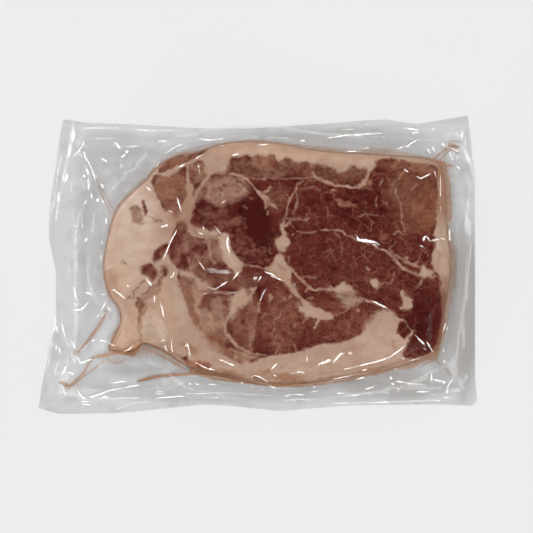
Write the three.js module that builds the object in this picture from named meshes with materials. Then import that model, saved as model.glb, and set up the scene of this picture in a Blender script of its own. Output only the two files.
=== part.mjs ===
// A raw, boneless pork shoulder chop, vacuum packed in a clear film pouch that lies flat.
// Millimetres. X runs along the pouch, Y across it and Z up. The origin is the middle of the
// underside. The chop lies in the pouch, and the pouch's solid is the film all round it.

import * as THREE from 'three';

// Driving dimensions of the pouch.
const POUCH_LENGTH = 300;
const POUCH_WIDTH = 204;
const FILM = 1; // the two films sealed together, with the air and juice between them
const SEAL_WIDTH = 9; // flat seal round the edge
const POCKET_RISE = 1.4; // how far the loose film inside the seal stands above it
const TENT_REACH = 15; // how far out the film comes down from the chop's side
const CONTACT = 0.5; // where the film meets the chop, as a share of the chop's thickness
const GAP = 0.4; // between the film's solid and the chop

// Driving dimensions of the chop.
const CHOP_THICKNESS = 20;
const TAIL_THICKNESS = 10;
const TAIL_TIP = [-100, -57];
const TAIL_REACH = 52; // the flap thins over this distance from its tip
const WIDEST = 0.42; // height of the widest part of the side, as a share of the thickness
const LOWER_ROUND = 2.5;
const UPPER_ROUND = 9;
const UNEVEN = 0.35; // slow unevenness of the cut face

// The middle that both outlines are seen from: each bearing from it meets each outline once.
const MIDDLE = [-20, 0];
const BEARINGS = 132;
const TOUCH = 1e-9; // a ray through an outline's corner still meets it

// Steps of the surfaces: angles up the chop's side, and shares of the way in and out.
const SIDE_ANGLES = [-90, -55, -25, 0, 25, 45, 65, 90];
const TOP_SHARES = [0.97, 0.93, 0.88, 0.83, 0.77, 0.71, 0.64, 0.57, 0.5, 0.42, 0.34, 0.26, 0.17, 0.08];
const FILM_SHARES = [0, 0.06, 0.14, 0.24, 0.36, 0.5, 0.64, 0.76, 0.86, 0.94, 1];

// The pouch's four edges as [place along the edge, how far it draws in from the full size].
const BACK_EDGE = [
  [-133, 2.5], [-117, 5], [-89, 6], [-35, 9], [-5, 9], [38, 6], [87, 2.5], [109, 6], [143.5, 0],
];
const RIGHT_EDGE = [[91, 5], [58, 1.5], [-77, 1.5], [-92.5, 0]];
const FRONT_EDGE = [
  [147, 5.5], [128, 6.5], [66, 6], [15, 2], [-19, 5.5], [-37, 6.5], [-75, 2.5], [-98, 0.5], [-136, 0],
];
const LEFT_EDGE = [[-98, 0], [-67, 5], [-36, 12], [-5, 12], [20, 7], [45, 8.5], [70, 12.5], [87, 14.5]];

// The chop's outline, from its left side over the back edge and round. The last points are
// the notch and the thin flap at the front left.
const CHOP_OUTLINE = [
  [-104.5, -3.5], [-99.5, 27], [-94, 39.5], [-85.5, 49], [-75.5, 58], [-67.5, 67], [-55, 74],
  [-41.5, 76.5], [-24, 82], [-5, 83.5], [15.5, 82], [40.5, 77.5], [85, 74.5], [120.5, 70],
  [126, 62.5], [128.5, 22], [131, 2], [127.5, -27], [122, -57.5], [112, -63.5], [80, -73.5],
  [49, -78], [18, -81], [-28, -75], [-45.5, -70.5], [-58, -62.5], [-69.5, -56], [-77.5, -54],
  [-83.5, -58], [-94, -59], [-101.5, -57.5], [-98.5, -50], [-93.5, -40], [-94, -30.5], [-100.5, -20.5],
];

// Muscles that stand out of the cut face, and fat that lies below it.
const BULGES = [
  { at: [-16, 27], size: [27, 31], turn: -50, rise: 1.4 }, // the dark oval muscle
  { at: [62, 38], size: [58, 24], turn: -6, rise: 1.3 }, // the marbled muscle, back part
  { at: [75, 0], size: [50, 17], turn: -14, rise: 1.2 }, // the marbled muscle, front part
  { at: [8, -38], size: [42, 20], turn: 6, rise: 1.3 },
  { at: [-38, -28], size: [17, 33], turn: 22, rise: 1.1 },
  { at: [104, -38], size: [17, 22], turn: 0, rise: 1.2 },
  { at: [-62, 54], size: [15, 14], turn: 40, rise: 0.7 },
  { at: [16.5, 16.5], size: [5, 8], turn: 0, rise: 0.9 }, // a knob of fat
  { at: [-83, 10], size: [17, 36], turn: -8, rise: -0.8 }, // the pad of fat on the left
  { at: [20, -68], size: [70, 8], turn: -5, rise: -0.6 }, // the band of fat along the front
];

// Seams between the muscles, as lines that dip.
const SEAMS = [
  [[-41.5, 24.5], [-20, 16.5], [-12, 3], [7, -1], [20.5, -7], [30.5, -17], [62.5, -22], [89.5, -31.5]],
  [[18.5, 31.5], [32, 22], [57, 22.5], [79, 14.5], [97.5, 2], [123, -12.5]],
  [
    [-62.5, -3.5], [-58, -24], [-49, -40.5], [-35.5, -57.5], [-18.5, -66.5], [1.5, -64.5],
    [28.5, -57.5], [69, -47.5],
  ],
];
const SEAM_DEPTH = 1.1;
const SEAM_WIDTH = 3.5;

// Folds of the film: those that run along the edge, as [distance from it, rise], and those
// that cross the loose film from the corners to the chop.
const EDGE_FOLDS = [[12, 1.1], [18, 0.8]];
const EDGE_FOLD_WIDTH = 1.8;
const CROSS_FOLDS = [
  [[-121, 79], [-112, 60], [-105, 45], [-98, 35]],
  [[-101, -32], [-109, -45], [-118, -55], [-124, -60]],
  [[-97, -62], [-112, -76], [-129, -83]],
  [[120, 70], [131, 80], [142, 92]],
  [[122, -60], [134, -76], [146, -92]],
];
const CROSS_FOLD_RISE = 1.5;
const CROSS_FOLD_WIDTH = 2.5;

const RAW_MEAT = new THREE.MeshStandardMaterial({ color: 0x84503f, roughness: 0.38, metalness: 0 });
const CLEAR_FILM = new THREE.MeshStandardMaterial({ color: 0xc8c9c9, roughness: 0.12, metalness: 0 });
CLEAR_FILM.transparent = true;
CLEAR_FILM.opacity = 0.45;

// 0 below the first edge, 1 above the second and a smooth way between.
function smoothStep(low, high, value) {
  return THREE.MathUtils.smoothstep(value, low, high);
}

// Distance from a point to a line of [x, y] points, open or closed.
function distanceToLine(x, y, line, closed = false) {
  let nearest = Infinity;
  const last = closed ? line.length : line.length - 1;
  for (let i = 0; i < last; i += 1) {
    const [ax, ay] = line[i];
    const [bx, by] = line[(i + 1) % line.length];
    const along = ((x - ax) * (bx - ax) + (y - ay) * (by - ay)) / ((bx - ax) ** 2 + (by - ay) ** 2);
    const share = THREE.MathUtils.clamp(along, 0, 1);
    nearest = Math.min(nearest, Math.hypot(ax + share * (bx - ax) - x, ay + share * (by - ay) - y));
  }
  return nearest;
}

// A ridge or a dip of one unit along a line, fading to both sides.
function alongLine(x, y, line, width) {
  return Math.exp(-((distanceToLine(x, y, line) / width) ** 2));
}

function bearingOf([x, y]) {
  return Math.atan2(y - MIDDLE[1], x - MIDDLE[0]);
}

// How far a closed outline lies from the middle on a bearing.
function reach(outline, bearing) {
  const [dx, dy] = [Math.cos(bearing), Math.sin(bearing)];
  let best = 0;
  for (let i = 0; i < outline.length; i += 1) {
    const [ax, ay] = [outline[i][0] - MIDDLE[0], outline[i][1] - MIDDLE[1]];
    const next = outline[(i + 1) % outline.length];
    const [ex, ey] = [next[0] - MIDDLE[0] - ax, next[1] - MIDDLE[1] - ay];
    const cross = dx * ey - dy * ex;
    const share = (ax * dy - ay * dx) / cross;
    const length = (ax * ey - ay * ex) / cross;
    if (share >= -TOUCH && share <= 1 + TOUCH && length > best) {
      best = length;
    }
  }
  return best;
}

function pouchOutline() {
  const [right, back] = [POUCH_LENGTH / 2, POUCH_WIDTH / 2];
  return [
    ...BACK_EDGE.map(([x, inset]) => [x, back - inset]),
    ...RIGHT_EDGE.map(([y, inset]) => [right - inset, y]),
    ...FRONT_EDGE.map(([x, inset]) => [x, inset - back]),
    ...LEFT_EDGE.map(([y, inset]) => [inset - right, y]),
  ];
}

// The chop's outline as evenly spaced points on a smooth closed curve.
function chopOutline() {
  const corners = CHOP_OUTLINE.map(([x, y]) => new THREE.Vector3(x, y, 0));
  const curve = new THREE.CatmullRomCurve3(corners, true);
  return curve.getSpacedPoints(BEARINGS).slice(0, BEARINGS).map(({ x, y }) => [x, y]);
}

const POUCH = pouchOutline();
const CHOP = chopOutline();

// The bearings of the chop's points and of the pouch's corners, once round from -180 degrees.
const POUCH_CORNERS = POUCH.filter(([x, y]) => Math.abs(x) > 125 && Math.abs(y) > 90);
const ALL_BEARINGS = [...CHOP, ...POUCH_CORNERS].map(bearingOf).sort((a, b) => a - b);

function pointOn(bearing, length) {
  return [MIDDLE[0] + length * Math.cos(bearing), MIDDLE[1] + length * Math.sin(bearing)];
}

// A loop of points, one on each bearing. The place gives a point's [x, y, z].
function loop(place) {
  return ALL_BEARINGS.map((bearing) => place(bearing));
}

// One closed body from loops that follow each other. A loop of one point closes an end, and a
// body without such ends closes on itself.
function loftedBody(loops) {
  const count = ALL_BEARINGS.length;
  const starts = [];
  const positions = [];
  for (const points of loops) {
    starts.push(positions.length / 3);
    positions.push(...points.flat());
  }
  const open = loops[0].length > 1;
  const pairs = open ? loops.length : loops.length - 1;
  const index = [];
  for (let i = 0; i < pairs; i += 1) {
    const j = (i + 1) % loops.length;
    for (let k = 0; k < count; k += 1) {
      const next = (k + 1) % count;
      const [a, b] = [starts[i] + k, starts[i] + next];
      const [c, d] = [starts[j] + next, starts[j] + k];
      if (loops[i].length === 1) {
        index.push(starts[i], c, d);
      } else if (loops[j].length === 1) {
        index.push(a, b, starts[j]);
      } else {
        index.push(a, b, c, a, c, d);
      }
    }
  }
  const geometry = new THREE.BufferGeometry();
  geometry.setAttribute('position', new THREE.Float32BufferAttribute(positions, 3));
  geometry.setIndex(index);
  geometry.computeVertexNormals();
  return geometry;
}

function chopThickness(x, y) {
  const fromTip = Math.hypot(x - TAIL_TIP[0], y - TAIL_TIP[1]);
  return THREE.MathUtils.lerp(TAIL_THICKNESS, CHOP_THICKNESS, smoothStep(0, TAIL_REACH, fromTip));
}

// Height of a bulge over a point: level on the bulge and gone outside it.
function bulgeHeight(x, y, { at, size, turn, rise }) {
  const angle = THREE.MathUtils.degToRad(turn);
  const [dx, dy] = [x - at[0], y - at[1]];
  const across = (dx * Math.cos(angle) + dy * Math.sin(angle)) / size[0];
  const along = (dy * Math.cos(angle) - dx * Math.sin(angle)) / size[1];
  return rise * (1 - smoothStep(0.55, 1.1, Math.hypot(across, along)));
}

function chopTop(x, y) {
  let relief = 0;
  for (const bulge of BULGES) {
    relief += bulgeHeight(x, y, bulge);
  }
  for (const seam of SEAMS) {
    relief -= SEAM_DEPTH * alongLine(x, y, seam, SEAM_WIDTH);
  }
  relief += UNEVEN * Math.sin(x / 11) * Math.sin(y / 9 + x / 40);
  const fromSide = distanceToLine(x, y, CHOP, true);
  return chopThickness(x, y) + relief * smoothStep(3, 14, fromSide);
}

// A loop on the chop's side, at an angle from the underside, -90, to the top, 90.
function sideLoop(degrees) {
  const angle = THREE.MathUtils.degToRad(degrees);
  const round = degrees < 0 ? LOWER_ROUND : UPPER_ROUND;
  return loop((bearing) => {
    const [x, y] = pointOn(bearing, reach(CHOP, bearing) - round * (1 - Math.cos(angle)));
    const top = chopTop(x, y);
    const widest = WIDEST * top;
    const half = degrees < 0 ? widest : top - widest;
    return [x, y, widest + half * Math.sin(angle)];
  });
}

function porkChop() {
  const top = TOP_SHARES.map((share) => loop((bearing) => {
    const [x, y] = pointOn(bearing, share * (reach(CHOP, bearing) - UPPER_ROUND));
    return [x, y, chopTop(x, y)];
  }));
  return loftedBody([
    [[...MIDDLE, 0]],
    ...SIDE_ANGLES.map(sideLoop),
    ...top,
    [[...MIDDLE, chopTop(...MIDDLE)]],
  ]);
}

// Height of the film's upper face: high where it comes down the chop's side, low in the seal.
function filmHeight(x, y) {
  const fromChop = distanceToLine(x, y, CHOP, true);
  const fromEdge = distanceToLine(x, y, POUCH, true);
  const inside = smoothStep(SEAL_WIDTH - 3, SEAL_WIDTH + 3, fromEdge);
  let height = FILM + POCKET_RISE * inside;
  for (const [distance, rise] of EDGE_FOLDS) {
    height += rise * Math.exp(-(((fromEdge - distance) / EDGE_FOLD_WIDTH) ** 2));
  }
  for (const fold of CROSS_FOLDS) {
    height += CROSS_FOLD_RISE * inside * alongLine(x, y, fold, CROSS_FOLD_WIDTH);
  }
  const contact = CONTACT * chopThickness(x, y);
  const share = (1 - Math.min(fromChop / TENT_REACH, 1)) ** 2;
  return THREE.MathUtils.lerp(height, contact, share);
}

function vacuumPouch() {
  const place = (share) => (bearing) => {
    const inner = reach(CHOP, bearing) + GAP;
    return pointOn(bearing, THREE.MathUtils.lerp(inner, reach(POUCH, bearing), share));
  };
  const flat = (share) => loop((bearing) => [...place(share)(bearing), 0]);
  const upper = FILM_SHARES.map((share) => loop((bearing) => {
    const [x, y] = place(share)(bearing);
    return [x, y, filmHeight(x, y)];
  }));
  return loftedBody([flat(1), ...upper.reverse(), flat(0)]);
}

function named(name, geometry, material) {
  const mesh = new THREE.Mesh(geometry, material);
  mesh.name = name;
  return mesh;
}

const pack = new THREE.Group();
pack.add(named('pork_chop', porkChop(), RAW_MEAT));
pack.add(named('vacuum_pouch', vacuumPouch(), CLEAR_FILM));

export default pack;
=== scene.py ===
# A raw pork shoulder chop in its clear vacuum pouch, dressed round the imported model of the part.
# Laid out as an add-on, run as a script. Lengths in the lists are millimetres, X along the pouch,
# Y across it and Z up; the objects themselves are in metres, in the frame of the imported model.
import math
from functools import partial

import bpy
import numpy as np
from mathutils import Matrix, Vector


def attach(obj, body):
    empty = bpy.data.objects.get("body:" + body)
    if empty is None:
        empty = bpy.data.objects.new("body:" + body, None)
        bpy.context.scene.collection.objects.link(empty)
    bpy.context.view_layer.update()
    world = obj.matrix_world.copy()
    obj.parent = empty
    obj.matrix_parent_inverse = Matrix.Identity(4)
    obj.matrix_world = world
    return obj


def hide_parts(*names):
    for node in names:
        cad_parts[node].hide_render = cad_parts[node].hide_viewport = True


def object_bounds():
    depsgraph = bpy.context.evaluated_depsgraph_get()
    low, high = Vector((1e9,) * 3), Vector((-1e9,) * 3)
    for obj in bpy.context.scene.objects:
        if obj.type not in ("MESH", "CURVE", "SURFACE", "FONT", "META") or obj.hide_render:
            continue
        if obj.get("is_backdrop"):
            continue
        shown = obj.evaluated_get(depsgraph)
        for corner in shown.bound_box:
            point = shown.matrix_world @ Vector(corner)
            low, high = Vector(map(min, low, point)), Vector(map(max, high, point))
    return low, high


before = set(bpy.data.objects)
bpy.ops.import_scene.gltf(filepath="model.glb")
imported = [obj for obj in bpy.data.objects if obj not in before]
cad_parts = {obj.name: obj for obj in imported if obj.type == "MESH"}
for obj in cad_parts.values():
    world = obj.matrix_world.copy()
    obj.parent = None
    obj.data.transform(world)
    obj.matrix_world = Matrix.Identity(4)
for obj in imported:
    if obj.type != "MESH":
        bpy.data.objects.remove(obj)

bl_info = {
    "name": "Vacuum-packed pork chop",
    "version": (1, 0, 0),
    "blender": (4, 5, 0),
    "location": "View3D > Sidebar > Pork chop",
    "description": "Builds a raw pork chop, its clear pouch and the juice between the films",
    "category": "Object",
}

CAD_BOX = [list(corner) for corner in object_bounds()]
MM = 0.001


def linear(code):
    """An sRGB hex colour as the three linear values that Blender works in."""
    levels = [int(code[i : i + 2], 16) / 255 for i in (1, 3, 5)]
    return tuple(v / 12.92 if v <= 0.04045 else ((v + 0.055) / 1.055) ** 2.4 for v in levels)


# ---- the pouch's and chop's forms

SEAL_WIDTH = 9  # flat seal round the edge
TENT_REACH = 15  # how far out the film comes down from the chop's side
CONTACT = 0.5  # where the film meets the chop's side, as a share of its thickness
TAIL_TIP = (-100, -57)
TAIL_REACH = 52  # the flap thins over this distance from its tip
WIDEST = 0.42  # height of the widest part of the side, as a share of the thickness
UPPER_ROUND = 9
LOWER_ROUND = 2.5
LOWER_STEPS = (-20, -40, -60, -90)  # angles down the lower side of the chop
UNEVEN = 0.35  # slow unevenness of the cut face
CHOP_FROM = 0.12  # height of the chop's underside, on the lower film

# The pouch's corners and edges, once round from the back left.
POUCH_OUTLINE = [
    (-133, 99.5), (-117, 97), (-89, 96), (-35, 93), (-5, 93), (38, 96), (87, 99.5), (109, 96),
    (143.5, 102), (145, 91), (148.5, 58), (148.5, -77), (150, -92.5), (147, -96.5), (128, -95.5),
    (66, -96), (15, -100), (-19, -96.5), (-37, -95.5), (-75, -99.5), (-98, -101.5), (-136, -102),
    (-150, -98), (-145, -67), (-138, -36), (-138, -5), (-143, 20), (-141.5, 45), (-137.5, 70),
    (-135.5, 87),
]

# The chop's outline, from its left side over the back edge and round. The last points are
# the notch and the thin flap at the front left.
CHOP_OUTLINE = [
    (-104.5, -3.5), (-99.5, 27), (-94, 39.5), (-85.5, 49), (-75.5, 58), (-67.5, 67), (-55, 74),
    (-41.5, 76.5), (-24, 82), (-5, 83.5), (15.5, 82), (40.5, 77.5), (85, 74.5), (120.5, 70),
    (126, 62.5), (128.5, 22), (131, 2), (127.5, -27), (122, -57.5), (112, -63.5), (80, -73.5),
    (49, -78), (18, -81), (-28, -75), (-45.5, -70.5), (-58, -62.5), (-69.5, -56), (-77.5, -54),
    (-83.5, -58), (-94, -59), (-101.5, -57.5), (-98.5, -50), (-93.5, -40), (-94, -30.5),
    (-100.5, -20.5),
]
CURVE_STEPS = 6  # points from one outline point to the next

# Ovals that stand out of the cut face or lie below it: middle, half sizes, turn and rise.
BULGES = [
    (-16, 27, 27, 31, -50, 1.4),  # the dark oval muscle
    (62, 38, 58, 24, -6, 1.3),  # the marbled muscle, back part
    (75, 0, 50, 17, -14, 1.2),  # the marbled muscle, front part
    (8, -38, 42, 20, 6, 1.3),
    (-38, -28, 17, 33, 22, 1.1),
    (104, -38, 17, 22, 0, 1.2),
    (-62, 54, 15, 14, 40, 0.7),
    (16.5, 16.5, 5, 8, 0, 0.9),  # a knob of fat
    (-83, 10, 17, 36, -8, -0.8),  # the pad of fat on the left
    (20, -68, 70, 8, -5, -0.6),  # the band of fat along the front
]

# Seams between the muscles, as lines that dip.
SEAMS = [
    [(-41.5, 24.5), (-20, 16.5), (-12, 3), (7, -1), (20.5, -7), (30.5, -17), (62.5, -22),
        (89.5, -31.5)],
    [(18.5, 31.5), (32, 22), (57, 22.5), (79, 14.5), (97.5, 2), (123, -12.5)],
    [(-62.5, -3.5), (-58, -24), (-49, -40.5), (-35.5, -57.5), (-18.5, -66.5), (1.5, -64.5),
        (28.5, -57.5), (69, -47.5)],
]
SEAM_DEPTH = 1.1
SEAM_WIDTH = 3.5

# Muscles on the cut face, as closed outlines. What lies outside them all is fat.
MUSCLES = {
    "core": [(-20, 68.5), (-18, 71.5), (-14.5, 73), (-4, 73.5), (3, 74), (5.5, 72.5), (8.5, 74),
        (11, 73.5), (13, 71), (15, 69.5), (19, 71.5), (22.5, 71.5), (24.5, 69.5), (27, 68.5),
        (30.5, 69.5), (33, 70), (36, 66.5), (41, 68.5), (42.5, 66.5), (48.5, 66), (50.5, 68.5),
        (51.5, 65), (53.5, 62), (58, 62), (60, 64.5), (62, 66.5), (64.5, 67.5), (67.5, 65.5),
        (69.5, 64), (73, 64.5), (75, 62), (77, 63), (78, 65.5), (79, 68.5), (81.5, 70.5),
        (85.5, 71.5), (89.5, 72.5), (99, 70), (109, 68.5), (119, 67), (121, 65), (121.5, 43.5),
        (120, 26.5), (118.5, 20), (120, 13), (116.5, 4.5), (116.5, 1), (119, -2), (124, -11),
        (122.5, -15), (122.5, -18.5), (124.5, -30.5), (124.5, -37), (121, -52), (118.5, -58),
        (114.5, -61), (107.5, -62.5), (102.5, -63.5), (97.5, -62.5), (96.5, -58.5), (101, -51.5),
        (104, -44.5), (97.5, -37), (90, -32), (86, -31), (80, -32), (74, -40.5), (68.5, -48),
        (64.5, -50), (54, -52.5), (43, -53.5), (34, -56.5), (28.5, -58.5), (17.5, -60.5),
        (7, -61.5), (-1, -65), (-10, -66.5), (-14.5, -65.5), (-22.5, -61.5), (-30, -56.5),
        (-34, -51.5), (-38, -46.5), (-42.5, -42), (-45.5, -35), (-49.5, -23), (-52, -15.5),
        (-54, -8.5), (-53.5, -5), (-56, -1), (-59.5, 4.5), (-61.5, 8.5), (-59, 14.5), (-55, 24),
        (-54, 28.5), (-52, 30.5), (-49.5, 28.5), (-47.5, 26), (-45.5, 28.5), (-44.5, 34),
        (-43.5, 38.5), (-39.5, 49), (-34.5, 56), (-31.5, 59.5), (-28, 61), (-24, 62), (-21, 65)],
    "back_left": [(-71, 59.5), (-68.5, 60.5), (-63.5, 60), (-59, 60), (-55, 62), (-51.5, 65.5),
        (-47.5, 66.5), (-47, 60), (-48, 50), (-47.5, 46), (-49.5, 43.5), (-51, 39.5), (-51, 35.5),
        (-53, 30.5), (-55, 32), (-57, 34.5), (-62, 36), (-64, 38.5), (-65, 41.5), (-68.5, 46),
        (-71, 53), (-71.5, 56)],
    "wedge": [(-46, 67), (-43.5, 69.5), (-40, 70.5), (-36.5, 70.5), (-35.5, 68.5), (-34.5, 65.5),
        (-36, 63.5), (-34.5, 60), (-38.5, 53), (-42, 49.5), (-43.5, 52), (-45.5, 55.5),
        (-46.5, 63.5)],
    "lip": [(-61, 71), (-57.5, 73), (-52, 74), (-45.5, 75), (-38.5, 76.5), (-33.5, 77.5),
        (-36.5, 74.5), (-42, 71.5), (-49.5, 68), (-57.5, 64.5), (-64, 62), (-67, 62), (-67.5, 64),
        (-65.5, 67)],
    "island_a": [(-59.5, 14.5), (-63.5, 14), (-66, 12.5), (-70.5, 7), (-71, 4.5), (-70.5, 2),
        (-69, 0.5), (-67, 2), (-63, 7), (-61, 10)],
    "island_b": [(-75.5, 0.5), (-72.5, 1.5), (-70.5, 0.5), (-68.5, -2), (-67, -4.5), (-67.5, -7.5),
        (-69, -10.5), (-71, -12), (-73, -10.5), (-74.5, -7.5), (-77, -6.5), (-79, -4.5), (-79, -2)],
    "island_c": [(-64, 0), (-61.5, 0.5), (-60, -3), (-59.5, -5.5), (-61.5, -8.5), (-64, -9),
        (-65.5, -5.5)],
    "slit": [(-77.5, 43.5), (-76, 44), (-75, 39.5), (-74.5, 35.5), (-75, 32.5), (-76.5, 32.5),
        (-77.5, 36), (-78, 40)],
    "islet": [(95.5, -38.5), (98.5, -37), (101, -40.5), (103, -44.5), (101.5, -48.5), (99, -50.5),
        (97, -48.5), (93.5, -46.5), (93, -44)],
    "front_edge": [(-51.5, -62.5), (-48, -60.5), (-45.5, -64), (-39.5, -64), (-33.5, -65.5),
        (-29.5, -68), (-34, -70.5), (-41.5, -70), (-48, -68.5)],
}

# Fat that lies within the muscles, as closed outlines.
FAT_SHAPES = {
    "knob": [(13, 17), (15, 19), (17, 19.5), (19.5, 18.5), (21.5, 16.5), (21, 14), (19.5, 12.5),
        (19, 10), (17.5, 8.5), (15.5, 9.5), (13.5, 10.5), (13, 13), (11.5, 15)],
    "fan": [(13, 7), (15.5, 8), (17.5, 4.5), (19.5, 0.5), (21.5, -2), (23, -5.5), (22.5, -11),
        (17.5, -9.5), (12.5, -7), (7.5, -3.5), (10.5, 0.5)],
    "oval_base": [(-45.5, 28.5), (-42.5, 25.5), (-39.5, 24), (-34.5, 23.5), (-31.5, 21.5),
        (-28.5, 23.5), (-26, 21.5), (-28, 18), (-30.5, 16.5), (-34.5, 17), (-39.5, 18.5),
        (-45, 19.5), (-47, 22.5), (-47.5, 26)],
    "inner": [(-26, 20), (-22.5, 21.5), (-19, 19.5), (-18, 14), (-17, 10), (-15, 6), (-12.5, 2.5),
        (-10, 0.5), (-10.5, -3), (-13, -6.5), (-15, -7.5), (-16.5, -4.5), (-20.5, 0), (-24.5, 3),
        (-27.5, 6.5), (-28.5, 10.5), (-28, 15), (-28.5, 18.5)],
    "main_wedge": [(7, -3.5), (15, -7.5), (22.5, -11.5), (25, -15.5), (31, -23.5), (35, -26.5),
        (43, -30.5), (48, -32), (50.5, -34.5), (50, -36.5), (46, -37), (42, -36.5), (38, -35),
        (34.5, -34.5), (32, -35), (32, -32), (28.5, -31), (27, -29), (27, -25.5), (28.5, -28.5),
        (30, -28), (29, -23.5), (23.5, -19), (21.5, -15.5), (16.5, -11), (9.5, -7)],
    "patch_up": [(48.5, -13.5), (51.5, -15.5), (54, -14), (57.5, -11), (59.5, -13.5), (62, -13),
        (63.5, -16.5), (65.5, -19.5), (55.5, -19), (50, -17)],
    "patch_low": [(53.5, -19), (62, -21.5), (67.5, -23), (71, -24.5), (63.5, -27), (60.5, -28),
        (58.5, -26.5), (56, -23.5)],
    "star": [(96.5, -18.5), (97.5, -17), (99.5, -21), (101.5, -22.5), (104.5, -23.5),
        (103.5, -25.5), (104.5, -27.5), (103, -29.5), (99.5, -30), (95.5, -29.5), (97.5, -28),
        (98.5, -24.5), (97, -21)],
    "blob": [(76, -10.5), (79.5, -10), (81.5, -13), (81.5, -15.5), (78, -15.5), (76, -13)],
    "star_right": [(109.5, -1.5), (111.5, 0), (113, -3), (116, -4), (119, -4.5), (117, -6.5),
        (119, -9), (114.5, -8), (110.5, -8.5), (109, -6.5)],
    "mid_patch": [(-17, -21), (-12, -17), (-6.5, -15.5), (-1, -15.5), (-3, -19.5), (-5, -23.5),
        (-7, -26.5), (-10, -28.5), (-13, -29), (-15, -32), (-16.5, -36), (-18.5, -36), (-19, -32),
        (-18, -28), (-18.5, -23.5)],
    "finger": [(-54, -3.5), (-50, -4.5), (-45.5, -5.5), (-41.5, -8.5), (-37.5, -11), (-33.5, -14.5),
        (-34.5, -15.5), (-39.5, -15), (-42, -13), (-42, -9.5), (-47, -8.5), (-51.5, -8.5)],
}

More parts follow.
